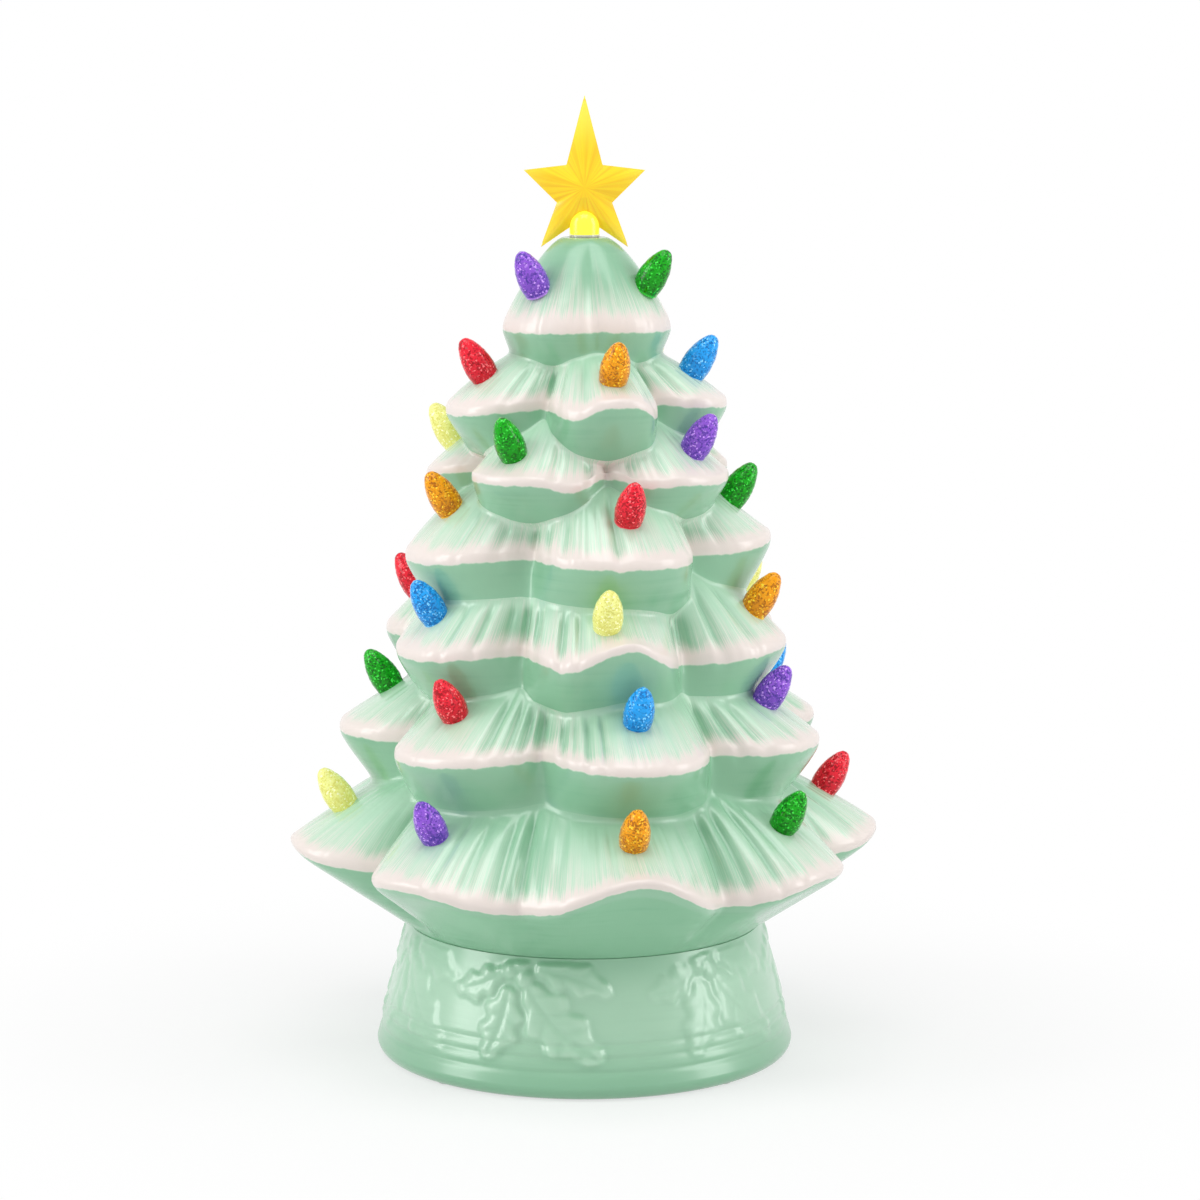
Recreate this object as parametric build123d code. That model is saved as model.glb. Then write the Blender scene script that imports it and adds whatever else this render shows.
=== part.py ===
from build123d import *
import math
import os

# Ceramic tabletop christmas tree, lit from inside: a hollow casting of seven bough tiers on a round base.
# Millimetres, +Z up, origin on the table under the trunk axis, front towards -Y.

# Tree casting
TREE_SPREAD = 254.0
TREE_HEIGHT = 290.6
TREE_WALL = 5.0
FOOT_STEP = 0.5
FOOT_OPENING_RADIUS = 62.0
LIP_THICKNESS = 2.4

# Bough tiers from the cap down: radii as shares of half the spread, heights as shares of the tree height
LIP_RADIUS_SHARES = (0.291, 0.476, 0.528, 0.622, 0.693, 0.824, 1.0)
LIP_HEIGHT_SHARES = (0.878, 0.773, 0.662, 0.564, 0.429, 0.293, 0.133)
ROOT_RADIUS_SHARES = (0.071, 0.157, 0.268, 0.346, 0.409, 0.457, 0.551)
ROOT_HEIGHT_SHARES = (1.0, 0.857, 0.760, 0.664, 0.540, 0.389, 0.244)
HEM_RADIUS_SHARES = (0.213, 0.340, 0.390, 0.465, 0.512, 0.622)
HEM_HEIGHT_SHARES = (0.802, 0.671, 0.588, 0.444, 0.313, 0.169)
SEAT_SHARES = (0.69, 0.62, 0.62, 0.49, 0.64, 0.52, 0.58)
CAP_CROWN_POWER = 1.5
BOUGH_CROWN_POWER = 1.1
LOBE_POWER = 2.5
LIFT_POWER = 4
LIP_LIFT = 10.0
UNDERSIDE_POWER = 1.25
STATIONS_PER_BOUGH = 8
# The inner skin follows the outer one, drawn in by these shares of the wall
TOP_INSET_SHARES = (0.57, 0.82)
LIP_INSET_SHARES = (1.44, 0.32)
HEM_INSET_SHARES = (0.87, -0.50)

# Middle of each bough, in degrees from the front towards +X, the colour of its bulb, and the rise of
# its lip there as a share of LIP_LIFT
BOUGHS = (
    ((-43.5, "purple", 0.0), (63.6, "green", 0.0), (190, "red", 0.0)),
    ((-66, "red", -0.35), (15, "gold", 0.35), (79, "blue", -0.1), (145, "clear", 0.0),
     (206, "green", 0.0)),
    ((-97, "clear", 0.0), (-32, "green", 0.40), (55, "purple", 0.2), (122, "red", 0.0),
     (190, "gold", 0.0)),
    ((-65, "gold", -0.3), (17, "red", 0.0), (88, "green", 0.3), (160, "blue", 0.0),
     (228, "purple", 0.0)),
    ((-110, "red", 0.0), (-55, "blue", -0.15), (7, "clear", 0.55), (70, "gold", 0.0),
     (118, "clear", 0.0), (184, "green", 0.0)),
    ((-92, "green", 0.0), (-40, "red", -0.1), (15, "blue", -0.1), (66, "purple", 0.0),
     (112, "blue", 0.0), (165, "gold", 0.0), (218, "red", 0.0)),
    ((-78, "clear", 0.0), (-36, "purple", -0.15), (11, "gold", 0.5), (52, "green", -0.25),
     (97, "red", 0.0), (143, "clear", 0.0), (190, "purple", 0.0), (236, "blue", 0.0)),
)
# Valley that follows each bough: its radius as a share of the lip's, and its rise as a share of LIP_LIFT
VALLEYS = (
    ((0.80, 0.05), (0.80, 0.0), (0.80, 0.0)),
    ((0.62, 0.0), (0.64, 0.1), (0.66, 0.0), (0.66, 0.0), (0.64, -0.1)),
    ((0.67, 0.45), (0.68, 0.5), (0.68, 0.45), (0.68, 0.45), (0.68, 0.45)),
    ((0.69, 0.1), (0.69, 0.0), (0.70, 0.0), (0.70, 0.0), (0.72, -0.1)),
    ((0.80, 0.0), (0.72, 0.15), (0.74, -0.35), (0.76, 0.0), (0.74, 0.0), (0.72, 0.0)),
    ((0.72, -0.1), (0.77, 0.15), (0.77, 0.0), (0.75, 0.0), (0.76, 0.0), (0.76, 0.0), (0.74, 0.0)),
    ((0.76, -0.5), (0.90, -0.9), (0.86, -1.0), (0.76, -0.5), (0.80, -0.4), (0.80, -0.4),
     (0.80, -0.4), (0.78, -0.4)),
)

# Twist bulbs, glued into drilled holes
BULB_RADIUS = 6.3
BULB_HEIGHT = 20.0
BULB_RIM_RADIUS = 5.5
BULB_STEM_RADIUS = 2.4
BULB_STEM_LENGTH = 11.0
BULB_TIP_RADIUS = 2.6
BULB_BELLY_SHARE = 0.30
BULB_SHOULDER_SHARE = 0.55
BULB_SHOULDER_RADIUS_SHARE = 0.90
BULB_TIP_SHARE = 0.92
BULB_TILT = 33.0
BULB_HOLE_CLEARANCE = 0.2
SPOT_FACE_DEPTH = 1.0
SPOT_FACE_MARGIN = 0.8
SPOT_FACE_REACH = 9.0

# Star and the peg that it turns on
STAR_REACH = 38.1
STAR_RIM_THICKNESS = 3.0
STAR_MIDDLE_THICKNESS = 13.0
STAR_HUB_RADIUS = 6.3
STAR_HUB_HEIGHT = 10.5
STAR_STANCE = 19.6
# Tips and inner corners from the top round to the right: degrees from +Z, with shares of the star's reach
STAR_OUTLINE_SHARES = (
    (0, 1.0), (39.2, 0.312), (74.3, 0.690), (119.1, 0.346), (143.8, 0.810), (180, 0.328),
    (216.2, 0.810), (240.9, 0.346), (285.7, 0.690), (320.8, 0.312),
)
PEG_FLANGE_RADIUS = 6.3
PEG_FLANGE_THICKNESS = 1.2
PEG_RADIUS = 4.1
PEG_DEPTH = 9.0
PEG_RISE = 6.5
PEG_RUNNING_CLEARANCE = 0.1
PEG_END_GAP = 0.5

# Base casting
BASE_HEIGHT = 55.5
BASE_HEEL_RADIUS = 89.0
BASE_TOP_RADIUS = 75.5
BASE_FOOT_RADIUS = 84.0
BASE_HEEL_HEIGHT = 4.5
BASE_WALL = 5.0
DECK_THICKNESS = 5.0
COLLAR_HEIGHT = 5.0
COLLAR_WALL = 4.0
COLLAR_CLEARANCE = 0.8
GROOVE_DEPTH = 0.9
GROOVE_WIDTH = 2.2
GROOVE_HEIGHT_SHARES = (0.19, 0.29, 0.385)
LEDGE_WIDTH = 4.0
LEDGE_HEIGHT = 4.0
LEDGE_SLOPE_HEIGHT = 4.0
PAD_RADIUS = 3.6
PAD_THICKNESS = 1.5
PAD_COUNT = 4
PAD_START_ANGLE = 45

# Bottom plate
PLATE_RADIUS = 77.5
PLATE_CLEARANCE = 0.5
PLATE_THICKNESS = 3.2
PLATE_RECESS = 1.3

# Battery bay: three AA cells side by side under a hinged door
CELL_RADIUS = 7.25
CELL_BODY_LENGTH = 49.5
CELL_NUB_RADIUS = 2.75
CELL_NUB_LENGTH = 1.0
CELL_COUNT = 3
CELL_SPACING = 14.9
CELL_REST_GAP = 0.3
CONTACT_SPACE = 2.75
CONTACT_SHEET = 0.5
CONTACT_WIDTH = 9.0
CONTACT_HEIGHT = 11.0
CONTACT_BUTTON_RADIUS = 2.4
BAY_CENTRE_Y = -35.0
BAY_WALL = 1.6
BAY_SIDE_GAP = 0.3
DOOR_GAP = 0.4
DOOR_PIN_RADIUS = 0.8
DOOR_PIN_LENGTH = 2.2
DOOR_PIN_CLEARANCE = 0.1
DOOR_GRIP_LENGTH = 14.0
DOOR_GRIP_WIDTH = 3.0
DOOR_GRIP_DEPTH = 1.2

# Circuit board and slide switch
BOARD_LENGTH = 28.0
BOARD_WIDTH = 20.0
BOARD_THICKNESS = 1.6
BOARD_CENTRE_Y = 33.0
BOARD_STANDOFF = 8.0
STANDOFF_RADIUS = 3.0
STANDOFF_INSET = 3.6
SCREW_RADIUS = 1.2
SCREW_LENGTH = 6.0
SCREW_HEAD_RADIUS = 2.3
SCREW_HEAD_HEIGHT = 1.5
SCREW_CLEARANCE = 0.1
SWITCH_TRAVEL = 5.0
KNOB_LENGTH = 6.0
KNOB_WIDTH = 4.0
KNOB_DROP = 1.0
KNOB_CLEARANCE = 0.3
CARRIAGE_LENGTH = 12.0
CARRIAGE_WIDTH = 8.0
CARRIAGE_TOP_GAP = 0.3
RAIL_WIDTH = 1.2
RAIL_HEIGHT = 3.0

# Lamp inside the tree, on a hollow post that clamps plate and deck together
POST_RADIUS = 5.0
POST_BORE_RADIUS = 3.4
POST_HEIGHT = 69.2
POST_HEAD_RADIUS = 8.0
POST_HEAD_THICKNESS = 1.2
POST_CLEARANCE = 0.3
POST_SLOT_WIDTH = 5.0
POST_SLOT_HEIGHT = 9.0
WASHER_RADIUS = 14.0
WASHER_THICKNESS = 1.5
NUT_WIDTH = 17.0
NUT_THICKNESS = 5.0
SOCKET_RADIUS = 13.0
SOCKET_SLEEVE = 7.5
SOCKET_FLOOR = 2.0
SOCKET_WELL_DEPTH = 2.0
SOCKET_CUP_DEPTH = 4.5
SOCKET_WALL = 1.5
SOCKET_STEP = 1.5
FIT_CLEARANCE = 0.1
LED_BOARD_THICKNESS = 1.6
LED_SIZE = 3.0
LED_HEIGHT = 0.8
LED_CIRCLE_RADIUS = 5.0
LED_COUNT = 3
COVER_RADIUS = 16.0
COVER_HEIGHT = 54.0
COVER_WALL = 1.2
COVER_BELLY_SHARE = 0.36
COVER_SHOULDER_SHARE = 0.74
COVER_SHOULDER_RADIUS_SHARE = 0.62
LEAD_RADIUS = 0.7
LEAD_SPACING = 2.6
LEAD_BEND_RADIUS = 3.0
LEAD_RUN_HEIGHT = 4.4
LEAD_EDGE_SHARE = 0.25

CUT_OVERRUN = 1.0

# Levels worked out from the sizes above
BASE_FLOOR = PAD_THICKNESS
BASE_TOP = BASE_FLOOR + BASE_HEIGHT
TREE_RADIUS = TREE_SPREAD / 2
TREE_TOP = BASE_TOP + TREE_HEIGHT
PLATE_BOTTOM = BASE_FLOOR + PLATE_RECESS
PLATE_TOP = PLATE_BOTTOM + PLATE_THICKNESS
BORE_RADIUS = PLATE_RADIUS + PLATE_CLEARANCE
BAY_LENGTH = CELL_BODY_LENGTH + CELL_NUB_LENGTH + 2 * CONTACT_SPACE
BAY_WIDTH = (CELL_COUNT - 1) * CELL_SPACING + 2 * CELL_RADIUS + 2 * BAY_SIDE_GAP
CELL_AXIS = PLATE_TOP + CELL_REST_GAP + CELL_RADIUS
BAY_TOP = CELL_AXIS + CELL_RADIUS + BAY_SIDE_GAP
DOOR_AXIS = PLATE_BOTTOM + PLATE_THICKNESS / 2
DOOR_HINGE_Y = BAY_CENTRE_Y - BAY_WIDTH / 2 + PLATE_THICKNESS / 2 + DOOR_GAP
BOARD_BOTTOM = PLATE_TOP + BOARD_STANDOFF
POST_TOP = PLATE_BOTTOM + POST_HEIGHT
SOCKET_BOTTOM = POST_TOP - SOCKET_SLEEVE
LED_BOARD_RADIUS = SOCKET_RADIUS - SOCKET_WALL - FIT_CLEARANCE
LED_BOARD_BOTTOM = POST_TOP + SOCKET_FLOOR + SOCKET_WELL_DEPTH
COVER_BOTTOM = LED_BOARD_BOTTOM + LED_BOARD_THICKNESS
HUB_BOTTOM = TREE_TOP + PEG_FLANGE_THICKNESS
STAR_CENTRE = HUB_BOTTOM + STAR_STANCE

parts = {}


def turned(curve):
    """Solid of revolution about the trunk axis from a closed half profile drawn as (radius, height)."""
    return revolve(make_face(Plane.XZ * curve), Axis.Z)


def disc(radius, bottom, height):
    return Pos(0, 0, bottom) * Cylinder(radius, height, align=(Align.CENTER, Align.CENTER, Align.MIN))


def block(length, width, height, centre, bottom):
    aligned = (Align.CENTER, Align.CENTER, Align.MIN)
    return Pos(centre[0], centre[1], bottom) * Box(length, width, height, align=aligned)


class Tier:
    """One ring of boughs: a lobed skirt from its root out to a wavy lip and back under to its hem."""

    def __init__(self, index, inset=0.0):
        last = index == len(BOUGHS) - 1
        self.boughs = BOUGHS[index]
        self.valleys = VALLEYS[index]
        self.inset = inset
        self.root = (ROOT_RADIUS_SHARES[index] * TREE_RADIUS, self.level(ROOT_HEIGHT_SHARES[index]))
        self.lip = (LIP_RADIUS_SHARES[index] * TREE_RADIUS, self.level(LIP_HEIGHT_SHARES[index]))
        self.seat_share = SEAT_SHARES[index]
        self.crown = BOUGH_CROWN_POWER if index else CAP_CROWN_POWER
        self.curl = 1.0 if last else UNDERSIDE_POWER
        self.hem_inset = [share * inset for share in HEM_INSET_SHARES]
        if not last:
            self.hem = (HEM_RADIUS_SHARES[index] * TREE_RADIUS, self.level(HEM_HEIGHT_SHARES[index]))
        elif inset:
            self.hem = (FOOT_OPENING_RADIUS, BASE_TOP)
            self.hem_inset = [0, 0]
        else:
            self.hem = (BASE_TOP_RADIUS - FOOT_STEP, BASE_TOP)

    @staticmethod
    def level(height_share):
        return BASE_TOP + height_share * TREE_HEIGHT

    def drawn_in(self, radius, height, start, end, share):
        """The point moved into the wall, by an inset that changes from start to end."""
        inward = start[0] + (end[0] - start[0]) * share
        down = start[1] + (end[1] - start[1]) * share
        return radius - inward, height - down

    def top_point(self, share, lip_radius, lift):
        radius = self.root[0] + (lip_radius - self.root[0]) * share
        height = self.root[1] + (self.lip[1] - self.root[1]) * share ** self.crown
        height += lift * share ** LIFT_POWER
        top_inset = [s * self.inset for s in TOP_INSET_SHARES]
        lip_inset = [s * self.inset for s in LIP_INSET_SHARES]
        return self.drawn_in(radius, height, top_inset, lip_inset, share)

    def under_point(self, share, lip_radius, lift):
        lip_height = self.lip[1] + lift - LIP_THICKNESS
        radius = lip_radius + (self.hem[0] - lip_radius) * share ** self.curl
        height = lip_height + (self.hem[1] - lip_height) * share
        lip_inset = [s * self.inset for s in LIP_INSET_SHARES]
        return self.drawn_in(radius, height, lip_inset, self.hem_inset, share)

    def stations(self):
        """Angles round the tier, with the lip's radius and lift there."""
        count = len(self.boughs)
        for i, (middle, colour, bough_lift) in enumerate(self.boughs):
            before = self.boughs[i - 1][0] - (360 if i == 0 else 0)
            after = self.boughs[(i + 1) % count][0] + (360 if i == count - 1 else 0)
            for step in range(STATIONS_PER_BOUGH):
                offset = 2 * step / STATIONS_PER_BOUGH - 1
                half = (middle - before) / 2 if offset < 0 else (after - middle) / 2
                valley, valley_lift = self.valleys[i - 1 if offset < 0 else i]
                swell = 1 - abs(offset) ** LOBE_POWER
                crest = (1 + math.cos(math.pi * offset)) / 2
                lip_radius = self.lip[0] * (valley + (1 - valley) * swell)
                lift = LIP_LIFT * (valley_lift + (bough_lift - valley_lift) * crest)
                yield math.radians(middle + offset * half), lip_radius, lift

    def ring(self, point_at, share):
        points = []
        for angle, lip_radius, lift in self.stations():
            radius, height = point_at(share, lip_radius, lift)
            points.append(Vector(radius * math.sin(angle), -radius * math.cos(angle), height))
        return Wire([Edge.make_spline(points, periodic=True)])

    def solid(self):
        seat = self.seat_share
        top_shares = (0, seat / 2, seat, (1 + seat) / 2, 1)
        under_shares = (0, 0.3, 0.65, 1)
        rings = [self.ring(self.top_point, share) for share in top_shares]
        rings += [self.ring(self.under_point, share) for share in under_shares]
        return Solid.make_loft(rings, True)

    def seats(self):
        """Plane of each bulb's seat, square to the bulb's axis."""
        tilt = math.radians(BULB_TILT)
        for angle, colour, lift in self.boughs:
            radius, height = self.top_point(self.seat_share, self.lip[0], LIP_LIFT * lift)
            out = Vector(math.sin(math.radians(angle)), -math.cos(math.radians(angle)), 0)
            axis = out * math.sin(tilt) + Vector(0, 0, math.cos(tilt))
            yield Plane(out * radius + Vector(0, 0, height) - axis * SPOT_FACE_DEPTH, z_dir=axis)


def tree_shell():
    outer = [Tier(i).solid() for i in range(len(BOUGHS))]
    inner = [Tier(i, TREE_WALL).solid() for i in range(len(BOUGHS))]
    outer_foot, *outer_skin = outer[0].fuse(*outer[1:]).faces().sort_by(Axis.Z)
    inner_foot, *inner_skin = inner[0].fuse(*inner[1:]).faces().sort_by(Axis.Z)
    foot_ring = Face(outer_foot.outer_wire(), [inner_foot.outer_wire()])
    casting = Solid(Shell([foot_ring] + outer_skin + inner_skin))
    aligned = (Align.CENTER, Align.CENTER, Align.MIN)
    hole = Pos(0, 0, -BULB_STEM_LENGTH) * Cylinder(
        BULB_STEM_RADIUS + BULB_HOLE_CLEARANCE, BULB_STEM_LENGTH + CUT_OVERRUN, align=aligned)
    spot_face = Cylinder(BULB_RIM_RADIUS + SPOT_FACE_MARGIN, SPOT_FACE_REACH, align=aligned)
    cutter = hole + spot_face
    cutters = [seat * cutter for i in range(len(BOUGHS)) for seat in Tier(i).seats()]
    peg_hole = disc(PEG_RADIUS + PEG_RUNNING_CLEARANCE, TREE_TOP - PEG_DEPTH, PEG_DEPTH + CUT_OVERRUN)
    return casting.cut(*cutters, peg_hole)


def bulb():
    """Blunt flame-shaped bulb on its seat plane, with the stem below."""
    belly = BULB_BELLY_SHARE * BULB_HEIGHT
    shoulder = (BULB_SHOULDER_RADIUS_SHARE * BULB_RADIUS, BULB_SHOULDER_SHARE * BULB_HEIGHT)
    tip = (BULB_TIP_RADIUS, BULB_TIP_SHARE * BULB_HEIGHT)
    profile = Polyline(
        (0, BULB_HEIGHT), (0, -BULB_STEM_LENGTH), (BULB_STEM_RADIUS, -BULB_STEM_LENGTH),
        (BULB_STEM_RADIUS, 0), (BULB_RIM_RADIUS, 0))
    profile += ThreePointArc((BULB_RIM_RADIUS, 0), (BULB_RADIUS, belly), shoulder)
    profile += Line(shoulder, tip)
    taper = (tip[0] - shoulder[0], tip[1] - shoulder[1])
    profile += Spline(tip, (0, BULB_HEIGHT), tangents=(taper, (-1, 0)))
    return turned(profile)


def star_body():
    """Five-pointed star with raised middle ridges, before the peg's bore."""
    rim = []
    for angle, reach_share in STAR_OUTLINE_SHARES:
        reach = reach_share * STAR_REACH
        x = reach * math.sin(math.radians(angle))
        rim.append((x, STAR_CENTRE + reach * math.cos(math.radians(angle))))
    faces = []
    half_rim = STAR_RIM_THICKNESS / 2
    front_middle = Vector(0, -STAR_MIDDLE_THICKNESS / 2, STAR_CENTRE)
    back_middle = Vector(0, STAR_MIDDLE_THICKNESS / 2, STAR_CENTRE)
    for (xa, za), (xb, zb) in zip(rim, rim[1:] + rim[:1]):
        front = [Vector(xa, -half_rim, za), Vector(xb, -half_rim, zb)]
        back = [Vector(xb, half_rim, zb), Vector(xa, half_rim, za)]
        for corners in (front + [front_middle], back + [back_middle], front + back):
            faces.append(Face(Wire.make_polygon(corners)))
    return Solid(Shell(faces))


def hub_bore():
    """Space for the peg's end in the hub and in the star above it."""
    return disc(PEG_RADIUS + PEG_RUNNING_CLEARANCE, HUB_BOTTOM - CUT_OVERRUN,
                PEG_RISE + PEG_END_GAP + CUT_OVERRUN).solid()


def star():
    """The star, notched over the peg's end."""
    return star_body().cut(hub_bore())


def star_hub():
    """Round hub with a domed top, slotted for the star's lower edge and bored for the peg."""
    dome_start = HUB_BOTTOM + STAR_HUB_HEIGHT - STAR_HUB_RADIUS
    outline = Polyline((0, dome_start + STAR_HUB_RADIUS), (0, HUB_BOTTOM), (STAR_HUB_RADIUS, HUB_BOTTOM),
                       (STAR_HUB_RADIUS, dome_start))
    hub = turned(outline + CenterArc((0, dome_start), STAR_HUB_RADIUS, 0, 90))
    return hub.solid().cut(star_body(), hub_bore())


def star_peg():
    """Plug in the cap's hole, with a flange that the star's hub turns on."""
    peg = disc(PEG_RADIUS, TREE_TOP - PEG_DEPTH, PEG_DEPTH + PEG_FLANGE_THICKNESS + PEG_RISE)
    return peg + disc(PEG_FLANGE_RADIUS, TREE_TOP, PEG_FLANGE_THICKNESS)


def base_shell():
    """Round tapered base with a rounded heel, three tooled grooves and a deck that seats the tree."""
    heel = (BASE_HEEL_RADIUS, BASE_FLOOR + BASE_HEEL_HEIGHT)
    rim = (BASE_TOP_RADIUS, BASE_TOP)
    collar_radius = FOOT_OPENING_RADIUS - COLLAR_CLEARANCE
    deck_bottom = BASE_TOP - DECK_THICKNESS
    ledge_top = PLATE_TOP + LEDGE_HEIGHT
    slope_top = ledge_top + LEDGE_SLOPE_HEIGHT
    hole = POST_RADIUS + POST_CLEARANCE

    def side(height):
        return heel[0] + (rim[0] - heel[0]) * (height - heel[1]) / (rim[1] - heel[1])

    outline = Polyline(
        rim, (collar_radius, BASE_TOP), (collar_radius, BASE_TOP + COLLAR_HEIGHT),
        (collar_radius - COLLAR_WALL, BASE_TOP + COLLAR_HEIGHT), (collar_radius - COLLAR_WALL, BASE_TOP),
        (hole, BASE_TOP), (hole, deck_bottom), (side(deck_bottom) - BASE_WALL, deck_bottom),
        (side(slope_top) - BASE_WALL, slope_top), (BORE_RADIUS - LEDGE_WIDTH, ledge_top),
        (BORE_RADIUS - LEDGE_WIDTH, PLATE_TOP), (BORE_RADIUS, PLATE_TOP), (BORE_RADIUS, BASE_FLOOR),
        (BASE_FOOT_RADIUS, BASE_FLOOR))
    outline += Spline((BASE_FOOT_RADIUS, BASE_FLOOR), heel,
                      tangents=((1, 0), (rim[0] - heel[0], BASE_HEIGHT)))
    outline += Line(heel, rim)
    shell = turned(outline)
    for share in GROOVE_HEIGHT_SHARES:
        height = BASE_FLOOR + share * BASE_HEIGHT
        groove = Polyline(
            (side(height) - GROOVE_DEPTH, height), (side(height) + GROOVE_DEPTH, height + GROOVE_WIDTH),
            (side(height) + GROOVE_DEPTH, height - GROOVE_WIDTH), close=True)
        shell -= turned(groove)
    return shell


def foot_pads():
    circle = (BORE_RADIUS + BASE_FOOT_RADIUS) / 2
    places = PolarLocations(circle, PAD_COUNT, start_angle=PAD_START_ANGLE)
    return [pad for pad in places * disc(PAD_RADIUS, 0, PAD_THICKNESS)]


def bottom_plate():
    """Moulded plate with the battery bay, the switch slot and its rails, and the board's standoffs."""
    plate = disc(PLATE_RADIUS, PLATE_BOTTOM, PLATE_THICKNESS)
    plate += block(BAY_LENGTH + 2 * BAY_WALL, BAY_WIDTH + 2 * BAY_WALL, BAY_TOP + BAY_WALL - PLATE_TOP,
                   (0, BAY_CENTRE_Y), PLATE_TOP)
    plate -= block(BAY_LENGTH, BAY_WIDTH, BAY_TOP - PLATE_BOTTOM + CUT_OVERRUN,
                   (0, BAY_CENTRE_Y), PLATE_BOTTOM - CUT_OVERRUN)
    pin_span = BAY_LENGTH + 2 * DOOR_PIN_LENGTH
    plate -= Pos(0, DOOR_HINGE_Y, DOOR_AXIS) * Rot(0, 90, 0) * Cylinder(
        DOOR_PIN_RADIUS + DOOR_PIN_CLEARANCE, pin_span)
    plate -= disc(POST_RADIUS + POST_CLEARANCE, PLATE_BOTTOM - CUT_OVERRUN, PLATE_THICKNESS + 2 * CUT_OVERRUN)
    plate -= block(KNOB_LENGTH + SWITCH_TRAVEL + 2 * KNOB_CLEARANCE, KNOB_WIDTH + 2 * KNOB_CLEARANCE,
                   PLATE_THICKNESS + 2 * CUT_OVERRUN, (0, BOARD_CENTRE_Y), PLATE_BOTTOM - CUT_OVERRUN)
    for side in (-1, 1):
        rail_y = BOARD_CENTRE_Y + side * (CARRIAGE_WIDTH / 2 + KNOB_CLEARANCE + RAIL_WIDTH / 2)
        plate += block(CARRIAGE_LENGTH + SWITCH_TRAVEL, RAIL_WIDTH, RAIL_HEIGHT, (0, rail_y), PLATE_TOP)
    for x, y in screw_places():
        plate += Pos(x, y) * disc(STANDOFF_RADIUS, PLATE_TOP, BOARD_STANDOFF)
        plate -= Pos(x, y) * disc(SCREW_RADIUS, BOARD_BOTTOM + BOARD_THICKNESS - SCREW_LENGTH, SCREW_LENGTH)
    return plate


def battery_door():
    """Flush door on two moulded pins, rounded along its hinge edge, with a finger groove at the other."""
    length = BAY_LENGTH - 2 * DOOR_GAP
    free_edge = BAY_CENTRE_Y + BAY_WIDTH / 2 - DOOR_GAP
    width = free_edge - DOOR_HINGE_Y
    door = block(length, width, PLATE_THICKNESS, (0, DOOR_HINGE_Y + width / 2), PLATE_BOTTOM)
    along = Pos(0, DOOR_HINGE_Y, DOOR_AXIS) * Rot(0, 90, 0)
    door += along * Cylinder(PLATE_THICKNESS / 2, length)
    door += along * Cylinder(DOOR_PIN_RADIUS, BAY_LENGTH + 2 * (DOOR_PIN_LENGTH - DOOR_GAP))
    door -= block(DOOR_GRIP_LENGTH, DOOR_GRIP_WIDTH, DOOR_GRIP_DEPTH + CUT_OVERRUN,
                  (0, free_edge - 2 * DOOR_GRIP_WIDTH), PLATE_BOTTOM - CUT_OVERRUN)
    return door


def cell_rows():
    for i in range(CELL_COUNT):
        row = i - (CELL_COUNT - 1) / 2
        yield BAY_CENTRE_Y + row * CELL_SPACING, 1 if i % 2 else -1


def battery_cells():
    cells = []
    for y, direction in cell_rows():
        along = Rot(0, 90 * direction, 0)
        body = Pos(0, 0, -CELL_NUB_LENGTH / 2) * Cylinder(CELL_RADIUS, CELL_BODY_LENGTH)
        nub = Pos(0, 0, CELL_BODY_LENGTH / 2) * Cylinder(CELL_NUB_RADIUS, CELL_NUB_LENGTH)
        cells.append(Pos(0, y, CELL_AXIS) * along * (body + nub))
    return cells


def battery_contacts():
    """A sheet contact on each end wall for each cell, with a pressed button that reaches the cell."""
    contacts = []
    for y, direction in cell_rows():
        for side in (-1, 1):
            wall = side * BAY_LENGTH / 2
            sheet = Pos(wall - side * CONTACT_SHEET / 2, y, CELL_AXIS) * Box(
                CONTACT_SHEET, CONTACT_WIDTH, CONTACT_HEIGHT)
            button_length = CONTACT_SPACE - CONTACT_SHEET
            button_x = wall - side * (CONTACT_SHEET + button_length / 2)
            button = Rot(0, 90, 0) * Cylinder(CONTACT_BUTTON_RADIUS, button_length)
            button = Pos(button_x, y, CELL_AXIS) * button
            contacts.append(sheet + button)
    return contacts


def screw_places():
    for side in (-1, 1):
        yield side * (BOARD_LENGTH / 2 - STANDOFF_INSET), BOARD_CENTRE_Y + BOARD_WIDTH / 2 - STANDOFF_INSET


def circuit_board():
    board = block(BOARD_LENGTH, BOARD_WIDTH, BOARD_THICKNESS, (0, BOARD_CENTRE_Y), BOARD_BOTTOM)
    for x, y in screw_places():
        board -= Pos(x, y) * disc(SCREW_RADIUS + SCREW_CLEARANCE, BOARD_BOTTOM - CUT_OVERRUN,
                                  BOARD_THICKNESS + 2 * CUT_OVERRUN)
    return board


def board_screws():
    top = BOARD_BOTTOM + BOARD_THICKNESS
    screw = disc(SCREW_RADIUS, top - SCREW_LENGTH, SCREW_LENGTH)
    screw += disc(SCREW_HEAD_RADIUS, top, SCREW_HEAD_HEIGHT)
    return [Pos(x, y) * screw for x, y in screw_places()]


def switch_slider():
    """Carriage between the rails, under the board, with the knob that reaches down through the slot."""
    middle = (0, BOARD_CENTRE_Y)
    slider = block(CARRIAGE_LENGTH, CARRIAGE_WIDTH, BOARD_STANDOFF - CARRIAGE_TOP_GAP, middle, PLATE_TOP)
    knob_height = PLATE_THICKNESS + KNOB_DROP
    return slider + block(KNOB_LENGTH, KNOB_WIDTH, knob_height, middle, PLATE_BOTTOM - KNOB_DROP)


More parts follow.
